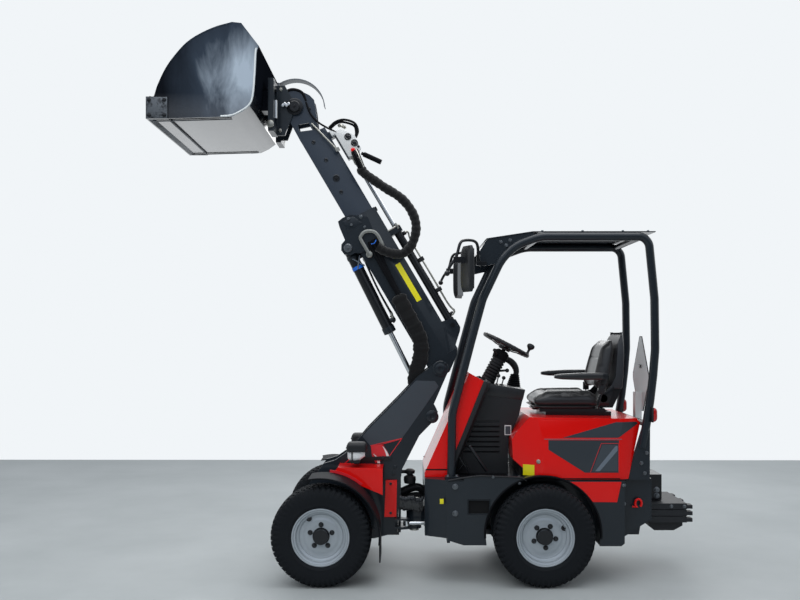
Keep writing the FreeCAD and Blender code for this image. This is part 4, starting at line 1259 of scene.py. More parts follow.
# ---------------- hood and rear frame
@dataclass
class RearFrame:
    """Films, lids, bolts and trim of the engine hood, the frame and the console."""

    panel: float = 430.0        # side panels, half width
    hood_half: float = 400.0
    film: float = 0.8           # films are drawn this thick
    wheel_x: float = -749.0
    axle: float = 292.0
    arch: float = 336.0

    def build(self) -> None:
        """Makes every piece."""
        self.hood_films()
        self.side_films()
        self.hood_fittings()
        self.arch_lips()
        self.frame_fittings()
        self.footwell()
        self.console_trim()
        self.tow_hook()

    def hood_side(self, x: float, z: float) -> float:
        """Half width of the hood: it leans in above its crease and narrows behind its shoulder."""
        crease, lean = 852.0, 18.0 / 121.0
        shoulder, taper = -1200.0, 80.0 / 145.0
        return self.hood_half - max(0.0, (z - crease) * lean, (shoulder - x) * taper)

    def film_on(self, form: Form, outline: Sequence[Flat], half: Callable[[float, float], float] | float,
            lift: float = 0.3) -> None:
        """Adds one film to both sides of the machine."""
        for s in SIDES:
            near, far = [], []
            for x, z in outline:
                y = half(x, z) if callable(half) else half
                near.append((x, s * (y + lift), z))
                far.append((x, s * (y + lift + self.film), z))
            form.loft([near, far])

    def stripe(self, points: Sequence[Flat], width: float) -> list[Flat]:
        """A straight band along a line, as an outline."""
        (x0, z0), (x1, z1) = points
        run = hypot(x1 - x0, z1 - z0)
        dx, dz = (x1 - x0) / run * width / 2, (z1 - z0) / run * width / 2
        return [(x0 - dz, z0 + dx), (x1 - dz, z1 + dx), (x1 + dz, z1 - dx), (x0 + dz, z0 - dx)]

    def hood_films(self) -> None:
        """The dark fields, the window with its streak and the thin lines."""
        dark = Form()
        self.film_on(dark, [(-784, 840), (-784, 784), (-998, 649), (-1198, 649), (-1198, 840)],
            self.hood_half)
        fold_low, fold_high = (-1201.6, 858), (-1225, 945)
        self.film_on(dark, [(-868, 854), (-1192, 854), fold_low, fold_high, (-1185, 945)], self.hood_side)
        self.film_on(dark, [fold_low, (-1326, 932), (-1316, 943), fold_high], self.hood_side)
        dark.piece("hood_dark_fields", Surface.FILM_CHARCOAL)
        line = Form()
        self.film_on(line, self.stripe([(-760, 846), (-1215, 846)], 3.0), self.hood_half, 1.2)
        window = [(-1094, 821), (-1196, 821), (-1196, 651), (-1030, 651)]
        line.piece("hood_crease_line", Surface.FILM_PALE)
        red = Form()
        for a, b in zip(window, window[1:3]):
            self.film_on(red, self.stripe([a, b], 3.0), self.hood_half, 1.2)
        self.film_on(red, self.stripe([window[0], window[3]], 3.0), self.hood_half, 1.2)
        red.piece("hood_window_outline", Surface.FILM_RED)
        pane = Form()
        self.film_on(pane, [(-1101, 812), (-1190, 812), (-1190, 658), (-1041, 658)], self.hood_half, 1.2)
        pane.piece("hood_window", Surface.FILM_GREY)
        streak = Form()
        self.film_on(streak, [(-1178, 806), (-1190, 806), (-1190, 780), (-1085, 658), (-1058, 658)],
            self.hood_half, 2.1)
        streak.piece("hood_window_streak", Surface.FILM_PALE)

    def side_films(self) -> None:
        """The red field over the rear wheel and the blank labels."""
        red = Form()
        curve = arc((self.wheel_x, self.axle), self.arch + 4, 180 - 34, 180 - 68, 8)
        self.film_on(red, [(curve[-1][0], 600), (-1206, 600), (-1180, 481)] + curve[:-1], self.panel)
        red.piece("side_red_field", Surface.BODY)
        plain = Form()
        self.film_on(plain, [(-552, 905), (-592, 905), (-592, 845), (-552, 845)], 170)
        plain.piece("console_label", Surface.FILM_WHITE)
        inner = Form()
        self.film_on(inner, [(-556, 900), (-588, 900), (-588, 850), (-556, 850)], 170, 1.2)
        inner.piece("console_label_field", Surface.FILM_GREY, slot="plate_grey")
        tag = Form()
        cheek_start, cheek_end = Vector((-560, 290, 0)), Vector((-751, 400, 0))
        along = (cheek_end - cheek_start).normalized()
        for s in SIDES:
            middle = cheek_start + along * 132
            rings = []
            for lift in (0.5, 1.4):
                ring = [middle + along * d + Vector((-along.y, along.x, 0)) * -lift + Vector((0, 0, z))
                    for d, z in ((-36, 626), (36, 626), (36, 690), (-36, 690))]
                rings.append([(v.x, s * v.y, v.z) for v in ring])
            tag.loft(rings)
        tag.piece("hood_blank_tag", Surface.FILM_YELLOW)

    def hood_fittings(self) -> None:
        """A strip of painted shade for the lid gap, latches, hinge and the rubber strip under the hood."""
        # A thin near-black sheet in the lid gap: painted shade.
        gap = Form()
        for s in SIDES:
            gap.box((-1205, s * 399.2, 611), (-752, s * 400.4, 617))
        gap.piece("hood_lower_gap", Surface.VOID)
        latch = Form()
        for s in SIDES:
            latch.turned([(13, 0), (13, 4), (10, 6)], (-728, s * 387, 712), (0.5, s * 0.87, 0), 28)
            latch.turned([(16, 0), (16, 3), (12, 5)], (-1330, s * 250, 940), (-1, 0, 0.1), 24)
        latch.piece("hood_latches", Surface.ZINC, smooth=40)
        seal = Form()
        for s in SIDES:
            seal.tube([(-700, s * 404, 606), (-1000, s * 404, 606), (-1240, s * 404, 606)], 4, 10)
        seal.piece("hood_seal", Surface.HOSE)

    def arch_lips(self) -> None:
        """Rubber lips round the rear wheel arches."""
        form = Form()
        for s in SIDES:
            rings = []
            for x, z in arc((self.wheel_x, self.axle), self.arch, 184, -4, 40):
                out = Vector((x - self.wheel_x, 0, z - self.axle)).normalized()
                rings.append(
                    [
                    tuple(
                    Vector((x, 0, z)) + out * (4 + 7 * cos(a)) + Vector(
                    (0, s * (self.panel - 1 + 6 * sin(a)), 0))) for a in circle(12)])
            form.loft(rings)
        form.piece("rear_arch_lips", Surface.HOSE)

    def frame_fittings(self) -> None:
        """Bolts, a plug, painted-shade sheets in the footwell and step hole, the hole's edge, a tag and the
        rear plate's edge.
        """
        bolts = Form()
        for s in SIDES:
            for x, z in ((-235, 571), (-235, 414)):
                bolts.bolt((x, s * self.panel, z), (0, s, 0), 24)
            for x, z in ((-456, 640), (-610, 604), (-1216, 592)):
                bolts.bolt((x, s * self.panel, z - 12), (0, s, 0), 13)
            for x, z in ((-1252, 448), (-1252, 560)):
                bolts.bolt((x, s * 300, z), (0, s, 0), 17)
            for z in (462, 500):
                bolts.bolt((-1499, s * 110, z), (0, s, 0), 26)
            for x in (-1560, -1640):
                bolts.bolt((x, s * 210, 416), (0, s, 0), 16)
        bolts.piece("frame_bolts", Surface.DULL_ZINC, smooth=30)
        # A near-black sheet behind the footwell: painted shade.
        footwell_shade = Form().box((-640, -318, 604), (-630, 318, 700))
        footwell_shade.piece("footwell_closing_panel", Surface.VOID)
        # A near-black box inside the step hole: painted shade.
        step_hole_shade = Form()
        for s in SIDES:
            step_hole_shade.box((-446, s * 415, 400), (-300, s * 422, 504))
        step_hole_shade.piece("step_hole_inside", Surface.VOID)
        rim = Form()
        for s in SIDES:
            y = s * (self.panel + 0.6)
            rim.tube([(-436, y, 412), (-436, y, 492), (-312, y, 492), (-312, y, 412), (-436, y, 412)], 2.6,
                8)
        rim.piece("step_hole_edge", Surface.FRAME)
        yellow = Form()
        self.film_on(yellow, [(-145, 470), (-167, 470), (-167, 500), (-145, 500)], self.panel)
        yellow.piece("frame_blank_tag", Surface.FILM_YELLOW, bevel=0.5)
        lock = Form()
        lock.turned([(12, 0), (12, 6), (8, 8)], (-1420, 0, 1262), (-1, 0, 0), 24)
        for z in (1405, 1140, 1030):
            lock.bolt((-1432, 0, z), (-1, 0, 0), 12)
        lock.piece("rear_plate_bolts", Surface.BLACK)
        edge = Form()
        outline = [(-26, 1452), (26, 1452), (194, 1213), (194, 1179), (62, 982), (-62, 982), (-194, 1179),
            (-194, 1213), (-26, 1452)]
        edge.tube([(-1430, y * 0.97, 1200 + (z - 1200) * 0.985) for y, z in outline], 3.0, 8)
        edge.piece("rear_plate_edge", Surface.TRIM)

    def footwell(self) -> None:
        """Ribbed rubber mats on the deck and a moulded edge on each side panel."""
        mats = Form()
        for s in SIDES:
            mats.box((-560, s * 190, 608.2), (-205, s * 412, 612))
            for k in range(22):
                x = -550 + 15.5 * k
                mats.box((x, s * 200, 611), (x + 7, s * 402, 616))
        mats.piece("footwell_mats", Surface.HOSE)
        edge = Form()
        for s in SIDES:
            top = [(-196, 606), (-285, 622), (-378, 634), (-622, 624), (-652, 606)]
            rings = []
            for x, z in top:
                rings.append([(x, s * (self.panel - 3 + 8 * cos(a)), z + 6 * sin(a)) for a in circle(12)])
            edge.loft(rings)
        edge.piece("footwell_edges", Surface.TRIM)

    def console_trim(self) -> None:
        """The console's top block, louvre blades, the cowl's black spine and screws, and a strip of painted
        shade for the gap under the cowl.
        """
        top = Form()
        side_view = [(-420, 1176), (-498, 1152), (-680, 1124), (-664, 1058), (-412, 1090), (-397, 1130)]
        top.prism(side_view, Axis.Y, -172.5, 172.5)
        top.piece("console_top", Surface.SMOOTH_TRIM, bevel=6.0)
        blades = Form()
        for s in SIDES:
            for k in range(6):
                z = 738 + 31 * k
                y0, y1 = s * 168.5, s * 175
                blades.loft(
                    [[(-300, y0, z + 2), (-300, y1, z + 10), (-300, y1, z + 14), (-300, y0, z + 14)],
                    [(-520, y0, z + 2), (-520, y1, z + 10), (-520, y1, z + 14), (-520, y0, z + 14)]])
        blades.piece("console_louvres", Surface.TRIM, bevel=0.8)
        spine = Form()
        for s in SIDES:
            rings = []
            for x, z in ((-206, 640), (-226, 708), (-322, 944), (-418, 1186)):
                rings.append([(x - 14, s * 240, z + 6), (x + 6, s * 306, z - 2), (x - 20, s * 306, z - 12),
                    (x - 44, s * 240, z - 14)])
            spine.loft(rings)
        spine.piece("cowl_inner_trim", Surface.TRIM, bevel=3.0)
        # A near-black strip under the cowl: painted shade for its gap.
        gap = Form()
        for s in SIDES:
            gap.loft(
                [[(-60, s * 300.6, 648), (-209, s * 300.6, 648), (-209, s * 300.6, 656),
                (-70, s * 300.6, 656)],
                [(-60, s * 301.4, 648), (-209, s * 301.4, 648), (-209, s * 301.4, 656),
                (-70, s * 301.4, 656)]])
        gap.piece("cowl_lower_gap", Surface.VOID)
        buttons = Form()
        for k, z in enumerate((860, 905, 950, 995, 1040)):
            x = -290 - 0.4 * (z - 860)
            for s in SIDES:
                buttons.bolt((x, s * 300, z), (0, s, 0), 8, washer=False)
        buttons.piece("cowl_screws", Surface.BLACK)

    def tow_hook(self) -> None:
        """The red tow hook in each rear recess."""
        form = Form()
        for s in SIDES:
            y = s * 322
            turns = [radians(-70 + 15 * k) for k in range(21)]
            loop = [(-1332 + 19 * cos(t), y, 455 + 25 * sin(t)) for t in turns]
            form.tube([(-1296, y, 436)] + loop, 7.0, 14)
        form.piece("tow_hooks", Surface.BODY, smooth=60)


@dataclass
class Canopy:
    """Roof edges, gusset bolts, mirrors and lamps of the canopy."""

    hoop_y: float = 350.0
    roof: float = 2067.0
    mirror: Point = (-306.0, 452.0, 1843.0)
    mirror_turn: float = 24.0       # degrees that a mirror looks inward

    def build(self) -> None:
        """Makes every piece."""
        self.roof_trim()
        self.mirrors()
        self.rear_lamps()

    def roof_trim(self) -> None:
        """Bolts along the roof and on the gussets, and the feet's bolts."""
        bolts = Form()
        for s in SIDES:
            for x in (-760, -1000, -1240, -1390):
                bolts.bolt((x, s * 320, self.roof + 6), (0, 0, 1), 13)
            for x, z in ((-510, 2009), (-565, 2019), (-542, 1988)):
                bolts.bolt((x, s * (self.hoop_y + 4), z), (0, s, 0), 15)
            for dx in (-26, 26):
                bolts.bolt((-220 + dx, s * (self.hoop_y + 30), 622), (0, 0, 1), 15)
            for x, z in ((-1360, 640), (-1340, 700), (-1372, 760), (-1378, 900)):
                bolts.bolt((x, s * (self.hoop_y + 10), z), (0, s, 0), 16)
        bolts.piece("canopy_bolts", Surface.DULL_ZINC)

    def mirrors(self) -> None:
        """Rounded mirror shells with their glass, on bent tube arms."""
        shells, glass, arms = Form(), Form(), Form()
        face = self.hoop_y + 4
        for s in SIDES:
            turn = radians(self.mirror_turn) * s
            x0, y0, z0 = self.mirror
            centre = Vector((x0, s * y0, z0))
            wide = Vector((-sin(turn), cos(turn), 0))
            deep = Vector((cos(turn), sin(turn), 0))
            rings = []
            for k in range(17):
                t = -1 + 2 * k / 16
                size = max((1 - abs(t) ** 5) ** 0.5 if abs(t) < 1 else 0.0, 0.4)
                ring = []
                for i in range(32):
                    c, v = cos(2 * pi * i / 32), sin(2 * pi * i / 32)
                    x = blunt(c, 0.4) * 65.5 * (0.62 + 0.38 * size)
                    y = blunt(v, 0.6 if v > 0 else 0.2) * (21.5 if v > 0 else 13.5) * size
                    ring.append(tuple(centre + wide * x + deep * y + Vector((0, 0, 134 * t))))
                rings.append(ring)
            shells.loft(rings)
            rear = centre - deep * 13.6
            corners = ((-54, -116), (54, -116), (58, 0), (54, 116), (-54, 116), (-58, 0))
            glass.loft([[tuple(rear - deep * d + wide * x + Vector((0, 0, z))) for x, z in corners]
                for d in (0.0, 1.2)])
            route = [(-372, face + 12, 1880), (-372, face + 14, 1975), (-350, 386, 2011), (-290, 430, 2011),
                (-262, 452, 1990), (-240, 462, 1915), (-205, 466, 1860), (-186, 467, 1822)]
            arms.tube(eased([(x, s * y, z) for x, y, z in route], 6), 8.8, 14)
            arms.ball((-186, s * 467, 1816), 16.5, 14)
            arms.box((-296, s * 448, 1876), (-222, s * 474, 1912))
            arms.box((-424, s * face, 1868), (-362, s * (face + 24), 1892))
        shells.piece("mirror_shells", Surface.SMOOTH_TRIM, smooth=50)
        glass.piece("mirror_glasses", Surface.GLASS)
        tube = arms.piece("mirror_arms", Surface.BLACK, smooth=50)
        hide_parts("mirrors")

    def rear_lamps(self) -> None:
        """Rear lamps: a red lens on a black foot."""
        lens, foot = Form(), Form()
        for s in SIDES:
            rings = []
            for k in range(9):
                t = k / 8
                grow = 1 - 0.35 * t ** 3
                rings.append(
                    [(-1402 - 24 * t, s * 368 + 34 * grow * blunt(cos(a), 0.4),
                    988 + 42 * grow * blunt(sin(a), 0.4)) for a in circle(28)])
            lens.loft(rings)
            foot.box((-1402, s * 368 - 36, 944), (-1392, s * 368 + 36, 1032))
        made = lens.piece("rear_lamp_lenses", Surface.RED_LENS, smooth=50)
        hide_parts("rear_lamps")
        foot.piece("rear_lamp_feet", Surface.TRIM, bevel=3.0)


# ---------------- front frame
@dataclass
class FrontFrame:
    """The tower's films, lamps, guards and the hoses over the centre joint."""

    body: str = "front_frame"
    plate: float = 110.0        # tower plates, outer face
    axle_x: float = 545.0
    axle: float = 292.0
    guard: float = 338.0
    film: float = 0.8

    def build(self) -> None:
        """Makes every piece."""
        self.tower_films()
        self.tower_fittings()
        self.headlamps()
        self.guard_trim()
        self.joint_hoses()
        self.joint_knob()

    def film_on(self, form: Form, outline: Sequence[Flat], lift: float = 0.3,
            half: Optional[float] = None) -> None:
        """Adds one film to the outside of both tower plates."""
        face = self.plate if half is None else half
        for s in SIDES:
            form.loft([[(x, s * (face + lift + d), z) for x, z in outline] for d in (0.0, self.film)])

    @staticmethod
    def frame_of(outline: Sequence[Flat], width: float) -> list[list[Flat]]:
        """A closed outline as straight bands."""
        bands = []
        for (x0, z0), (x1, z1) in zip(outline, list(outline[1:]) + [outline[0]]):
            run = hypot(x1 - x0, z1 - z0)
            dx, dz = (x1 - x0) / run * width / 2, (z1 - z0) / run * width / 2
            bands.append([(x0 - dz - dx, z0 + dx - dz), (x1 - dz + dx, z1 + dx + dz),
                (x1 + dz + dx, z1 - dx + dz), (x0 + dz - dx, z0 - dx - dz)])
        return bands

    def tower_films(self) -> None:
        """Grey field, red patch with two white curves and the thin red triangles."""
        grey = Form()
        self.film_on(grey, [(-10, 1176), (92, 1067), (290, 867), (322, 828), (275, 772), (79, 815),
            (-60, 1010), (-150, 1140), (-128, 1172)])
        grey.piece("tower_grey_field", Surface.FILM_GREY, self.body, slot="blue_grey_paint")
        lines = Form()
        for band in self.frame_of([(79, 815), (155, 707), (198, 782)], 4.5):
            self.film_on(lines, band, 1.2)
        for band in self.frame_of([(79, 817), (272, 772)], 5.0)[:1]:
            self.film_on(lines, band, 1.3)
        for band in self.frame_of([(398, 692), (482, 618), (392, 614)], 5.0):
            self.film_on(lines, band, 1.2)
        lines.piece("tower_red_lines", Surface.FILM_RED, self.body)
        patch = Form()
        self.film_on(patch, [(270, 773), (198, 782), (155, 707), (240, 664), (262, 700)], 1.2)
        patch.piece("tower_red_patch", Surface.FILM_RED, self.body)
        curves = Form()
        for shift, top, low in ((0, 768, 684), (58, 722, 664)):
            outer = [(212 + shift + 26 * (1 - k / 8) ** 2 - 6, top + (low - top) * k / 8) for k in range(9)]
            inner = [(x - 3 - 15 * sin(pi * 0.5 * k / 8), z) for k, (x, z) in enumerate(outer)]
            self.film_on(curves,
                [(x - 34, z) for x, z in outer] + [(x - 34, z) for x, z in reversed(inner)], 2.1)
        curves.piece("tower_white_curves", Surface.FILM_WHITE, self.body)

    def tower_fittings(self) -> None:
        """Pin caps with their bolts, and more bolts on the tower."""
        px, _, pz = BOOM_PIVOT
        caps, bolts = Form(), Form()
        for s in SIDES:
            caps.turned([(50, 0), (50, 5), (46, 8), (34, 8), (34, 14), (28, 17), (12, 17), (9, 12)],
                (px, s * self.plate, pz), (0, s, 0), 48)
            caps.turned([(40, 0), (40, 8), (34, 12), (14, 12), (10, 8)], (-110, s * self.plate, 952),
                (0, s, 0), 40)
            for x, z in ((px + 30, pz - 30), (px - 30, pz + 30)):
                bolts.bolt((x, s * (self.plate + 8), z), (0, s, 0), 11)
            for x, z in ((-96, 925), (-122, 978)):
                bolts.bolt((x, s * (self.plate + 11), z), (0, s, 0), 11)
            for x, z in ((150, 697), (196, 699), (120, 640), (330, 640), (130, 600), (250, 260), (600, 330),
                    (600, 250), (470, 250)):
                bolts.bolt((x, s * (self.plate + (12 if z > 690 else 0)), z), (0, s, 0), 15)
            for z in (360, 540):
                bolts.bolt((147, s * (self.plate + 26), z), (0, s, 0), 12)
        caps.piece("tower_pin_caps", Surface.FRAME, self.body, smooth=35)
        bolts.piece("tower_bolts", Surface.FRAME, self.body)

    def headlamps(self) -> None:
        """Clear lenses with a reflector behind, small indicators and hooded black housings."""
        lens, bowl, hood, amber = Form(), Form(), Form(), Form()
        for s in SIDES:
            rings = []
            for x, grow, drop in ((300, 0.55, 8), (330, 0.92, 2), (366, 1.0, 0), (390, 0.9, -2),
                    (404, 0.62, -4)):
                rings.append(
                    [(x, s * (250 + 50 * grow * blunt(cos(a), 0.6)),
                    740 + drop + 42 * grow * blunt(sin(a), 0.6)) for a in circle(28)])
            lens.loft(rings)
            bowl.turned([(38, 0), (33, 14), (22, 26), (6, 30)], (388, s * 250, 740), (-1, 0, 0), 32)
            amber.turned([(10, 0), (10, 12), (6, 16)], (352, s * 250, 744), (0.4, s * 0.9, 0), 20)
            rings = []
            for x, wide, base, top in ((288, 40, 774, 782), (300, 50, 774, 797), (340, 55, 774, 808),
                    (380, 54, 774, 806), (404, 48, 775, 792), (414, 40, 776, 782)):
                ring = [(x, s * (250 + wide * blunt(cos(a), 0.5)),
                    base + (top - base) * max(0.0, sin(a)) ** 0.6)
                    for a in (pi * i / 16 for i in range(17))]
                rings.append(ring)
            hood.loft(rings)
            hood.loft([[(334, s * 210, 690), (384, s * 210, 690), (384, s * 300, 690), (334, s * 300, 690)],
                [(328, s * 206, 702), (396, s * 206, 702), (396, s * 304, 702), (328, s * 304, 702)]])
        made = lens.piece("headlamp_lenses", Surface.LENS, self.body, smooth=50)
        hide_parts("headlamps")
        bowl.piece("headlamp_reflectors", Surface.CHROME, self.body)
        amber.piece("headlamp_indicators", Surface.RED_LENS, self.body)
        hood.piece("headlamp_hoods", Surface.TRIM, self.body, bevel=2.0, smooth=45)

    def guard_trim(self) -> None:
        """Rolled edges and dark-red bands on the front mudguards."""
        lip, band = Form(), Form()
        for s in SIDES:
            rings = []
            for x, z in arc((self.axle_x, self.axle), self.guard + 2, 76, 187, 30):
                out = Vector((x - self.axle_x, 0, z - self.axle)).normalized()
                rings.append(
                    [
                    tuple(Vector((x, s * 540, z)) + out * (5 * cos(a)) + Vector((0, s * (-5.2 + 5 * sin(a)),
                    0))) for a in circle(10)])
            lip.loft(rings)
            sweep = arc((self.axle_x, self.axle), self.guard + 8, 96, 130, 12)
            outer = arc((self.axle_x, self.axle), self.guard + 24, 130, 96, 12)
            band.loft([[(x, s * y, z) for x, z in sweep + outer] for y in (306.4, 309.0)])
        lip.piece("mudguard_lips", Surface.HOSE, self.body)
        band.piece("mudguard_bands", Surface.FILM_RED, self.body)

    def joint_hoses(self) -> None:
        """Hydraulic hoses over the centre joint, bending with it."""
        for k, (y, level, rise) in enumerate(((62, 470, 34), (38, 446, 42), (8, 482, 30), (-22, 452, 44),
                (-52, 474, 28), (50, 428, 26), (-6, 424, 30))):
            path = eased([(112, y * 0.8, level - 6), (78, y * 0.9, level + 2), (28, y, level + rise * 0.8),
                (-24, y, level + rise), (-70, y * 0.9, level + 8), (-120, y * 0.8, level - 8)], 8)
            form = Form().tube(path, 11.5, 14)
            hose = form.piece(f"joint_hose_{k + 1}", Surface.HOSE, self.body, slot="hose_black", smooth=60)
            bend(hose)
        path = [Vector(p)
            for p in eased([(92, 97, 420), (60, 97, 410), (16, 97, 416), (-24, 97, 404), (-56, 97, 412)],
            12)]
        rings = []
        for i, point in enumerate(path):
            crumple = 1 + 0.06 * sin(1.9 * i) + 0.05 * sin(0.7 * i + 1)
            rings.append([(point.x, point.y + 8.5 * cos(a), point.z + 44 * crumple * sin(a))
                for a in circle(28)])
        wrap = Form().loft(rings).piece("joint_hose_wrap", Surface.WRAP, self.body, smooth=60)
        bend(wrap)
        ends = Form()
        for y, level in ((62, 470), (38, 446), (8, 482), (-22, 452), (-52, 474)):
            ends.turned([(13, 0), (13, 12), (10, 13), (10, 24)], (118, y * 0.8, level - 8), (-1, 0, 0.25),
                6)
        ends.piece("joint_hose_ends_front", Surface.ZINC, self.body)

    def joint_knob(self) -> None:
        """The hose swivel over the centre joint, on a stay from the tower."""
        form = Form()
        form.turned([(19, -1), (35, 3), (39, 26), (37, 44), (23, 52), (17, 60), (31, 65), (33, 82),
            (19, 93)], (28, 0, 520), (0, 0, 1), 36)
        form.rod((28, 0, 595), (83, 0, 595), 11)
        form.piece("joint_hose_swivel", Surface.TRIM, self.body, smooth=40)


def bend(thing: Thing) -> None:
    """Lets a piece bend between two bodies."""
    world = thing.matrix_world.copy()
    thing.parent = None
    thing.matrix_world = world
    if "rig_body" in thing:
        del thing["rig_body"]
    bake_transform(thing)


# ---------------- boom
@dataclass
class Boom:
    """Everything bolted to the boom: pins, pipes, hoses, the sleeve and the coupling block."""

    outer: str = "boom_outer"
    inner: str = "boom_inner"
    sleeve_radius: float = 31.0

    def build(self) -> None:
        """Makes every piece."""
        self.loop()
        self.sleeve()
        self.bracket()
        self.outer_fittings()
        self.telescope()
        self.inner_fittings()
        self.coupling()
        self.lift_ram()

    def loop(self) -> None:
        """The braided hose bundle that pays out as the boom telescopes."""
        line = ((1318, 103.3, 207), (1290, 103.3, 206), (1160, 104, 264), (1037, 106, 325), (924, 108, 340),
            (830, 110, 312), (757, 110, 240), (735, 112, 166), (764, 118, 108), (812, 118, 66),
            (850, 118, 46))
        route = [on_boom(s, y, n) for s, y, n in line]
        path = eased(route, 16)
        form = Form()
        form.tube(path,
            lambda gone: self.sleeve_radius - 2.4 + 1.5 * sin(gone / 5.5) + 0.9 * sin(gone / 17.0 + 1), 28)
        made = form.piece("boom_hose_loop", Surface.SLEEVE, self.outer, smooth=60)
        bend(made)
        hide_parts("hose_loop")
        silver, black = Form(), Form()
        for k in range(7):
            turn = 2 * pi * k / 7
            dy, dn = 19 * cos(turn), 19 * sin(turn)
            run = eased([on_boom(1440, 84 + 0.6 * dy, 224 + dn), on_boom(1390, 100 + dy, 217 + dn),
                on_boom(1300, 104 + 0.8 * dy, 206 + 0.8 * dn)], 6)
            (silver if k % 2 else black).tube(run, 4.5 if k % 2 else 7.5, 12)
        for form, finish, name in ((silver, Surface.ZINC, "boom_loop_pipes"),
                (black, Surface.HOSE, "boom_loop_hoses")):
            made = form.piece(name, finish, self.outer, slot="hose_black", smooth=60)
            bend(made)

    def sleeve(self) -> None:
        """The fabric sleeve down the boom's side, over its pivot and into the tower."""
        route = [(531, 92, 0), (440, 96, -4), (351, 98, -8), (280, 99, -10), (220, 99, -20), (160, 98, -48),
            (112, 94, -84), (70, 84, -130), (20, 66, -170), (-40, 52, -196)]
        path = eased([on_boom(s, y, n) for s, y, n in route], 10)
        points = [Vector(p) for p in path]
        rings, gone = [], 0.0
        for i, point in enumerate(points):
            ahead = (points[min(i + 1, len(points) - 1)] - points[max(i - 1, 0)]).normalized()
            out = Vector((0, 1, 0))
            out = (out - ahead * out.dot(ahead)).normalized()
            wide = out.cross(ahead)
            gone += (point - points[i - 1]).length if i else 0.0
            pucker = 2.6 * sin(gone / 11.0) + 1.8 * sin(gone / 4.9 + 0.7)
            end = min(1.0, (gone + 14) / 30)
            rings.append(
                [
                tuple(point + wide * (48 * end + pucker) * blunt(cos(a),
                0.7) + out * (16 * end + 0.5 * pucker) * blunt(sin(a), 0.8)) for a in circle(32)])
        form = Form().loft(rings)
        made = form.piece("boom_hose_sleeve", Surface.SLEEVE, self.outer, smooth=60)
        bend(made)
        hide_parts("hose_sleeve")

    def bracket(self) -> None:
        """The flat zinc hoop that holds the hoses beside the boom."""
        line = [(818, -22), (880, -21), (945, -20), (962, -4), (970, 20), (965, 42), (950, 66), (930, 80),
            (900, 84), (839, 80)]
        form = Form()
        path = eased([on_boom(s, 0, n) for s, n in line], 4)
        rings = []
        for i, point in enumerate(path):
            ahead = (Vector(path[min(i + 1, len(path) - 1)]) - Vector(path[max(i - 1, 0)])).normalized()
            flat = Vector((0, 1, 0)).cross(ahead)
            rings.append([tuple(Vector(point) + Vector((0, y, 0)) + flat * t)
                for y, t in ((112, -10), (117, -10), (117, 10), (112, 10))])
        form.loft(rings)
        form.turned([(20, 0), (20, 30)], on_boom(835, 84, -22), (0, 1, 0), 24)
        form.piece("boom_hose_hoop", Surface.ZINC, self.outer, bevel=0.8, smooth=30)
        hoses = Form()
        for n, y in ((10, 92), (34, 96), (56, 92)):
            path = eased(
                [on_boom(s, yy, nn) for s, yy, nn in ((905, y + 8, n + 6), (860, y + 4, n),
                (760, y, n * 0.6), (640, y - 2, n * 0.4), (525, y - 4, n * 0.3))], 6)
            hoses.tube(path, 10.5, 14)
        hoses.piece("boom_side_hoses", Surface.HOSE, self.outer, slot="hose_black", smooth=60)
        tie = Form()
        tie.tube(eased([on_boom(890, 122, 60), on_boom(878, 128, 40), on_boom(884, 124, 20)], 6), 3.0, 8)
        tie.piece("boom_hose_tie", Surface.TIE, self.outer)

    def outer_fittings(self) -> None:
        """Bolts, pin caps and pads of the outer boom, its blank label and welds."""
        bolts, pads, welds = Form(), Form(), Form()
        for s in SIDES:
            for along, n in ((1093, -22), (1053, -24), (1068, 52)):
                bolts.bolt(on_boom(along, s * 84, n), (0, s, 0), 17)
            for along, n in ((925, -108), (1000, 40)):
                bolts.bolt(on_boom(along, s * 84, n), (0, s, 0), 13)
            pads.loft(
                [[on_boom(a, s * 84.2, n) for a, n in ((1020, -70), (1100, -62), (1094, 12), (1030, 40))],
                [on_boom(a, s * 87, n) for a, n in ((1022, -67), (1097, -60), (1091, 10), (1032, 37))]])
            weld = eased([on_boom(a, s * 75.5, n) for a, n in ((870, -60), (872, 0), (870, 60))], 12)
            welds.tube(weld, 4.0, 8)
            caps_at = on_boom(939, s * 84, -116)
            bolts.turned([(27, 0), (27, 8), (22, 12), (10, 12)], caps_at, (0, s, 0), 36)
            bolts.bolt(on_boom(939, s * 96, -116), (0, s, 0), 13, washer=False)
        bolts.piece("outer_boom_bolts", Surface.DULL_ZINC, self.outer)
        pads.piece("outer_boom_wear_plates", Surface.FRAME, self.outer, bevel=2.0)
        welds.piece("outer_boom_welds", Surface.FRAME, self.outer)
        label = Form()
        corners = [(700, 84), (700, 118), (432, 118), (432, 84)]
        label.loft([[on_boom(a, 75.4 - (n - 81) * 0.48 if n > 81 else 75.4, n) for a, n in corners],
            [on_boom(a, 76.6 - (n - 81) * 0.48 if n > 81 else 76.6, n + 0.6) for a, n in corners]])
        label.piece("boom_blank_label", Surface.FILM_YELLOW, self.outer)
        mouth = 1062            # where the outer boom ends, along it
        pads = Form()
        pads.loft([[on_boom(a, y, n) for y, n in ((-30, 159), (30, 159), (30, 168), (-30, 168))]
            for a in (mouth, mouth + 22)])
        pads.loft([[on_boom(a, y, n) for y, n in ((-56, -72), (56, -72), (56, -64), (-56, -64))]
            for a in (mouth - 6, mouth + 20)])
        pads.piece("outer_boom_slide_pads", Surface.TRIM, self.outer, bevel=1.5)

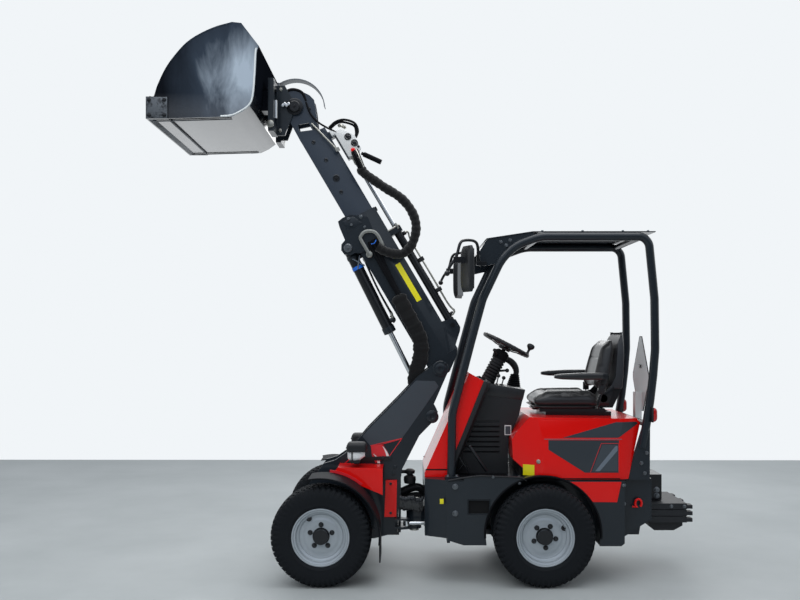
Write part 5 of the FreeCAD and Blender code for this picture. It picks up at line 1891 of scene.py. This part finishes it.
    def telescope(self) -> None:
        """Gland, clevis, ports and pipes of the telescope ram."""
        form, pipes, clamp = Form(), Form(), Form()
        along = tuple(BOOM_ALONG)
        form.turned([(26.6, 0), (31, 2), (31, 30), (27, 33), (22, 33), (14.5, 36)], on_boom(884, 0, 205),
            along, 40)
        form.turned([(30, 0), (30, 26), (26, 28)], on_boom(214, 0, 205), along, 36)
        form.turned([(13, 0), (13, 18), (9, 20)], on_boom(260, 0, 231), tuple(BOOM_ACROSS), 20)
        form.turned([(13, 0), (13, 18), (9, 20)], on_boom(850, 0, 231), tuple(BOOM_ACROSS), 20)
        form.piece("telescope_fittings", Surface.BLACK, self.outer, smooth=35)
        for y, top in ((12, 250), (-12, 252)):
            path = eased([on_boom(250, y, 236), on_boom(268, y, 262), on_boom(330, y, top),
                on_boom(560, y, top), on_boom(780, y, top), on_boom(842, y, 262), on_boom(852, y, 244)], 8)
            pipes.tube(path, 6, 12)
        pipes.piece("telescope_pipes", Surface.ZINC, self.outer, smooth=60)
        for s in (420, 640):
            clamp.loft([[on_boom(a, y, n) for y, n in ((-24, 226), (24, 226), (24, 264), (-24, 264))]
                for a in (s, s + 26)])
        clamp.piece("telescope_pipe_clamps", Surface.TRIM, self.outer, bevel=2.5)
        guide = Form()
        guide.loft([[on_boom(a, y, n) for y, n in ((-44, 214), (44, 214), (44, 226), (-44, 226))]
            for a in (888, 930)])
        for y in (-34, 34):
            guide.bolt(on_boom(909, y, 226), tuple(BOOM_ACROSS), 13)
            guide.rod(on_boom(909, y, 150), on_boom(909, y, 214), 6)
        guide.piece("telescope_guide_clamp", Surface.ZINC, self.outer, bevel=1.5)

    def inner_fittings(self) -> None:
        """Plugs, pins, pipe and cable of the inner boom."""
        rings, dark = Form(), Form()
        for s in SIDES:
            for along, n, size in ((1622, 34, 13), (1487, 46, 13), (1356, 43, 23), (1267, 26, 13)):
                rings.turned([(size, 0.2), (size, 3), (size - 4, 4.5), (size - 6, 3), (size - 6, 0.2)],
                    on_boom(along, s * 60, n), (0, s, 0), 32, whole=True)
                dark.turned([(size - 6, 0.2), (size - 6, 1.2)], on_boom(along, s * 60, n), (0, s, 0), 28)
            dark.bolt(on_boom(1356, s * 61, 43), (0, s, 0), 13, washer=False)
        rings.piece("inner_boom_plug_rings", Surface.FRAME, self.inner, smooth=40)
        dark.piece("inner_boom_plugs", Surface.BLACK, self.inner)
        pin = Form()
        for s in SIDES:
            pin.turned([(34, 0), (34, 6), (30, 9), (12, 9)], on_boom(1870, s * 88, 45), (0, s, 0), 40)
            pin.bolt(on_boom(1870, s * 96, 45), (0, s, 0), 14, washer=False)
            pin.bolt(on_boom(1816, s * 60, 118), (0, s, 0), 14)
            pin.bolt(on_boom(1700, s * 60, 84), (0, s, 0), 12)
        pin.piece("bucket_pin_caps", Surface.BLACK, self.inner)
        pipe = Form()
        path = [on_boom(1494, 68, 141), on_boom(1729, 68, 83)]
        pipe.tube(path, 5.5, 12)
        pipe.loft([[on_boom(a, y, n) for y, n in ((58, 128), (78, 128), (78, 154), (58, 154))]
            for a in (1494, 1516)])
        pipe.piece("tip_pipe", Surface.ZINC, self.inner, smooth=60)
        cable = Form()
        cable.tube(
            eased([on_boom(1600, 70, 190), on_boom(1660, 72, 150), on_boom(1720, 70, 120),
            on_boom(1790, 68, 108), on_boom(1860, 72, 120)], 8), 6, 12)
        cable.piece("tip_hose", Surface.HOSE, self.inner, slot="hose_black", smooth=60)

    def coupling(self) -> None:
        """The white coupling block with its sockets, release button, grip and hose bows."""
        block, sockets, button = Form(), Form(), Form()
        outline = [(1428, 176), (1410, 238), (1438, 272), (1528, 279), (1600, 226), (1634, 152),
            (1594, 152), (1594, 176)]
        block.loft([[on_boom(a, 30, n) for a, n in outline], [on_boom(a, 75, n) for a, n in outline]])
        made = block.piece("coupling_block", Surface.VALVE_CAP, self.inner, slot="block_grey", bevel=5.0)
        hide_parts("coupler_block")
        for along, n in ((1540, 236), (1486, 252)):
            sockets.turned([(22, 0), (22, 5), (17, 7), (15, 2), (15, 0)], on_boom(along, 75, n), (0, 1, 0),
                32, whole=True)
            sockets.turned([(13, 0), (13, 8), (6, 12)], on_boom(along, 75, n), (0, 1, 0), 24)
        sockets.turned([(8, 0), (8, 6), (5, 8)], on_boom(1454, 75, 262), (0, 1, 0), 20)
        sockets.piece("coupling_sockets", Surface.BLACK, self.inner, smooth=40)
        button.turned([(13, 0), (13, 5), (8, 9)], on_boom(1452, 75, 222), (0, 1, 0), 28)
        button.piece("coupling_button", Surface.BODY, self.inner, smooth=50)
        grip = Form()
        start, end = Vector(on_boom(1412, 56, 258)), Vector(on_boom(1300, 56, 336))
        rings = []
        run = (end - start).normalized()
        side = Vector((0, 1, 0))
        other = run.cross(side)
        for k in range(41):
            r = 15 + (1.6 if k % 2 else 0) if k > 4 else 10
            rings.append([tuple(start + (end - start) * (k / 40) + (side * cos(a) + other * sin(a)) * r)
                for a in circle(20)])
        grip.loft(rings)
        grip.piece("coupling_lever", Surface.HOSE, self.inner, smooth=25)
        bows = Form()
        for y, less in ((40, 0), (58, 14), (68, 4)):
            line = ((1516, 1.0, 278), (1548, 1.0, 312 - less), (1600 - less, 1.0, 318 - less),
                (1650 - less, 0.9, 276 - less), (1668 - less, 0.8, 220), (1660 - less, 0.7, 166))
            bows.tube(eased([on_boom(a, y * share, n) for a, share, n in line], 8), 7, 12)
        bows.piece("coupling_bows", Surface.HOSE, self.inner, slot="hose_black", smooth=60)
        fittings = Form()
        for k, (y, n) in enumerate(((40, 196), (56, 204), (70, 214), (48, 222))):
            fittings.turned([(11, 0), (11, 14), (8, 15), (8, 34), (10, 35), (10, 52)], on_boom(1424, y, n),
                tuple(-BOOM_ALONG), 6)
            fittings.turned([(10, 0), (10, 16), (7, 18)], on_boom(1600 + 8 * k, y, 250 - 8 * k),
                tuple(BOOM_ALONG), 6)
        fittings.piece("coupling_fittings", Surface.ZINC, self.inner)

    def lift_ram(self) -> None:
        """Ports, pipes, clamp and pin bosses of the lift ram."""
        top = Vector(on_boom(939, 0, -116))
        foot = Vector((-110, 0, 952))
        run = (foot - top).normalized()
        back = Vector((run.z, 0, -run.x))
        if back.x > 0:
            back = -back

        def spot(d: float, out: float, y: float = 0.0) -> Point:
            """A point d down the barrel and `out` behind it."""
            place = top + run * d + back * out
            return (place.x, y, place.z)

        form, pipes, tie = Form(), Form(), Form()
        form.turned([(36.4, 0), (41, 3), (41, 36), (37, 40), (30, 42), (19, 44)], spot(548, 0), tuple(run),
            44)
        form.turned([(37, 0), (39, 4), (39, 20), (37, 24)], spot(44, 0), tuple(run), 44)
        for d in (70, 520):
            form.turned([(15, 0), (15, 22), (11, 24)], spot(d, 33), tuple(back), 22)
        form.piece("lift_ram_collars", Surface.FRAME, "lift_barrel", smooth=35)
        for y, start, end in ((16, 66, 540), (-16, 66, 500)):
            path = eased([spot(start, 40, y), spot(start + 20, 62, y), spot(start + 70, 58, y),
                spot(300, 52, y), spot(end - 60, 58, y), spot(end - 14, 62, y), spot(end, 44, y)], 8)
            pipes.tube(path, 6.5, 12)
        pipes.piece("lift_ram_pipes", Surface.BLACK, "lift_barrel", smooth=60)
        fitting = Form()
        for d, y in ((476, 16), (92, 16), (92, -16)):
            fitting.turned([(10, 0), (10, 18), (7, 19), (7, 34)], spot(d, 59, y), tuple(run), 6)
        fitting.piece("lift_ram_fittings", Surface.ZINC, "lift_barrel")
        tie.turned([(38, 0), (38, 22)], spot(120, 0), tuple(run), 44)
        tie.piece("lift_ram_tie", Surface.TIE, "lift_barrel")
        straps = Form()
        for turn in (35, -35):
            a = radians(turn)
            lean = run * cos(a) + back * sin(a)
            middle = Vector(spot(104, 20, 40))
            straps.rod(tuple(middle - lean * 44), tuple(middle + lean * 44), 4, 10)
        straps.piece("lift_ram_straps", Surface.FILM_PALE, "lift_barrel")


# ---------------- bucket
@dataclass
class Bucket:
    """Edges, strips, lock pins and hoses of the light-material bucket and its coupler."""

    body: str = "bucket"
    half: float = 525.0

    def build(self) -> None:
        """Makes every piece."""
        edge = Form()
        rim = [(1530, 2827), (1501, 2827), (1478, 2893), (1433, 2988), (1381, 3062), (1312, 3137),
            (1232, 3189), (1140, 3229), (1054, 3251)]
        for s in SIDES:
            y = s * (self.half - 4)
            path = eased([(x, y, z) for x, z in rim], 5)
            edge.tube(path, 6.5, 10)
        edge.piece("bucket_cheek_edges", Surface.BUCKET, self.body, smooth=60)
        # Pale grey tubes along each cheek's rear and lower rim: a painted highlight of the rounded edge.
        highlight_rims = Form()
        for s in SIDES:
            path = [(912, 3108), (918, 3085), (924, 2965), (935, 2836), (955, 2782), (1000, 2748),
                (1056, 2722), (1120, 2716)]
            highlight_rims.tube(eased([(x, s * (self.half - 1), z) for x, z in path], 5), 5.5, 10)
        highlight_rims.piece("bucket_cheek_rims", Surface.SHEET, self.body, smooth=60)
        worn = Form()
        for s in SIDES:
            y0, y1 = sorted((s * (self.half + 10.2), s * (self.half + 11.5)))
            worn.box((1424, y0, 2703), (1545, y1, 2824))
        worn.box((1500, -self.half, 2700.2), (1546.9, self.half, 2719))
        worn.piece("bucket_wear_edges", Surface.EDGE, self.body, bevel=1.5)
        strips = Form()
        for y in (-0.92, 0.92):
            low, high = self.half * y - 7, self.half * y + 7
            strips.loft(
                [[(1060, low, z + 5), (1060, high, z + 5), (1520, high, z - 7.5), (1520, low, z - 7.5)]
                for z in (2706, 2701.5)])
        strips.box((1412, -0.92 * self.half, 2694), (1420, 0.92 * self.half, 2702))
        strips.piece("bucket_floor_strips", Surface.EDGE, self.body, bevel=1.0)
        bolts = Form()
        for s in SIDES:
            for x, z in ((1440, 2720), (1440, 2808), (1528, 2720), (1528, 2808)):
                bolts.turned([(12, 0), (12, 2), (9, 3.4)], (x, s * (self.half + 11.4), z), (0, s, 0), 20)
        bolts.piece("bucket_bolts", Surface.BLACK, self.body)
        px, _, pz = BUCKET_PIVOT
        lock, rings = Form(), Form()
        for s in SIDES:
            lock.rod((px + 125, s * 80, pz - 150), (px + 125, s * 262, pz - 150), 15, 24)
            lock.turned([(22, 0), (22, 10), (16, 12)], (px + 125, s * 256, pz - 150), (0, s, 0), 28)
            rings.turned([(52, 0), (52, 4), (46, 6)], (px, s * 79, pz), (0, s, 0), 40)
            lock.bolt((px + 86, s * 79, pz + 106), (0, s, 0), 15)
            lock.bolt((px + 90, s * 79, pz - 150), (0, s, 0), 15)
        lock.piece("coupler_lock_pins", Surface.ZINC, self.body, smooth=35)
        rings.piece("bucket_pin_rings", Surface.BLACK, self.body, smooth=35)
        chrome = Form()
        chrome.rod((852, 180, 2785), (852, 180, 2895), 12, 20)
        for k in range(4):
            chrome.turned([(7, 0), (10, 3), (10, 14), (7, 17)], (818 - 12 * k, 96, 2884 + 9 * (k % 2)),
                (0, 1, 0), 16)
        chrome.piece("coupler_fittings", Surface.CHROME, self.body, slot="chrome_rod", smooth=40)
        tilt = Form()
        tilt.tube(eased([(px + 100, 52, pz + 60), (px + 30, 60, pz + 110), (px - 40, 58, pz + 96),
            (px - 70, 54, pz + 40)], 8), 9, 14)
        tilt.tube(eased([(px + 100, -52, pz + 60), (px + 30, -60, pz + 110), (px - 40, -58, pz + 96),
            (px - 70, -54, pz + 40)], 8), 9, 14)
        tilt.piece("coupler_hoses", Surface.HOSE, self.body, slot="hose_black", smooth=60)


# ---------------- the studio
@dataclass
class Studio:
    """Pale floor and backdrop, soft lamps and the camera."""

    camera_place: Point = (60.0, 5745.0, 1452.0)
    camera_turn: float = 0.3        # degrees from straight across the machine
    camera_shift: float = 0.045     # share of the width that the level view is moved up
    lens: float = 40.9
    floor_code: str = "#B9BEBF"

    def build(self) -> None:
        """Makes everything that isn't the machine."""
        self.floor()
        self.world()
        self.lamps()
        self.camera()

    def floor(self) -> None:
        """A floor of pale sealed concrete."""
        data = bpy.data.meshes.new("floor")
        reach, wall = 40.0, -4.9
        data.from_pydata([(-reach, wall, 0), (reach, wall, 0), (reach, reach, 0), (-reach, reach, 0)], [],
            [(0, 1, 2, 3)])
        floor = bpy.data.objects.new("floor", data)
        bpy.context.scene.collection.objects.link(floor)
        made = bpy.data.materials.new("sealed_concrete")
        made.use_nodes = True
        tree = made.node_tree
        tree.nodes.clear()
        place = add(tree, "TexCoord").outputs["Object"]
        cloud = add(tree, "TexNoise", {"Vector": place, "Scale": 0.9, "Detail": 8.0, "Roughness": 0.6})
        colour = ramp(tree, cloud.outputs["Fac"], [(0.3, "#A9AFB0"), (0.7, self.floor_code)])
        shader = add(tree, "BsdfPrincipled",
            {"Base Color": colour, "Roughness": 0.5, "Specular IOR Level": 0.3})
        add(tree, "OutputMaterial", {"Surface": shader.outputs[0]})
        data.materials.append(made)

    def world(self) -> None:
        """A soft white room: white behind the machine, a plain level of light on it."""
        scene = bpy.context.scene
        scene.world = bpy.data.worlds.new("room")
        scene.world.use_nodes = True
        tree = scene.world.node_tree
        tree.nodes.clear()
        path = add(tree, "LightPath")
        seen = add(tree, "Math", {0: path.outputs["Is Camera Ray"], 1: path.outputs["Is Glossy Ray"]},
            operation="MAXIMUM")
        seen = add(tree, "Math", {0: seen.outputs[0], 1: path.outputs["Is Transmission Ray"]},
            operation="MAXIMUM")
        light = add(tree, "Background", {"Color": linear("#E6EEF6"), "Strength": 0.5})
        heading = add(tree, "TexCoord").outputs["Generated"]
        aim = add(tree, "SeparateXYZ", {"Vector": heading})
        near = add(tree, "MapRange", {"Value": aim.outputs["Y"], "From Min": 0.0, "From Max": 0.4})
        window = ramp(tree, aim.outputs["Z"], [(0.08, "#15191D"), (0.32, "#D3DEEC")])
        wall = add(tree, "Background", {"Color": linear("#F1F5F8")})
        hall = add(tree, "Background", {"Color": window})
        glint = add(tree, "Math", {0: near.outputs["Result"], 1: path.outputs["Is Glossy Ray"]},
            operation="MULTIPLY")
        room = add(tree, "MixShader", {0: glint.outputs[0], 1: wall.outputs[0], 2: hall.outputs[0]})
        mix = add(tree, "MixShader", {0: seen.outputs[0], 1: light.outputs[0], 2: room.outputs[0]})
        add(tree, "OutputWorld", {"Surface": mix.outputs[0]})

    def lamps(self) -> None:
        """Large soft lamps; the one before the machine leaves no glint in its paint."""
        for name, place, turn, size, power in (("overhead", (0, 500, 5200), (0, 0, 0), 5.0, 150.0),
                ("camera_side", (1500, 4800, 3600), (-55, 0, 15), 3.5, 95.0),
                ("far_side", (-1500, -4500, 3800), (52, 0, 10), 3.0, 70.0)):
            data = bpy.data.lights.new(name, "AREA")
            data.size, data.energy = size, power
            lamp = bpy.data.objects.new(name, data)
            lamp.location = at(*place)
            lamp.rotation_euler = [radians(a) for a in turn]
            lamp.visible_glossy = name != "camera_side"
            bpy.context.scene.collection.objects.link(lamp)

    def camera(self) -> None:
        """A level camera beside the machine, at chest height."""
        data = bpy.data.cameras.new("camera")
        data.lens = self.lens
        data.shift_y = self.camera_shift
        camera = bpy.data.objects.new("camera", data)
        camera.location = at(*self.camera_place)
        camera.rotation_euler = (radians(90), 0, radians(180 + self.camera_turn))
        bpy.context.scene.collection.objects.link(camera)
        bpy.context.scene.camera = camera
        bpy.context.scene.view_settings.view_transform = "Standard"


def main() -> None:
    """Builds the studio, then each sub-assembly."""
    logging.basicConfig(level=logging.INFO, format="%(message)s")
    random.seed(4)
    Studio().build()
    FramePaint().dress()
    for end in ("front", "rear"):
        for side in Side:
            RoadWheel(end, side).build()
    Seat().build()
    Controls().build(wheel_level=0.0)
    RearFrame().build()
    Canopy().build()
    FrontFrame().build()
    Boom().build()
    Bucket().build()


if __name__ == "__main__":
    main()
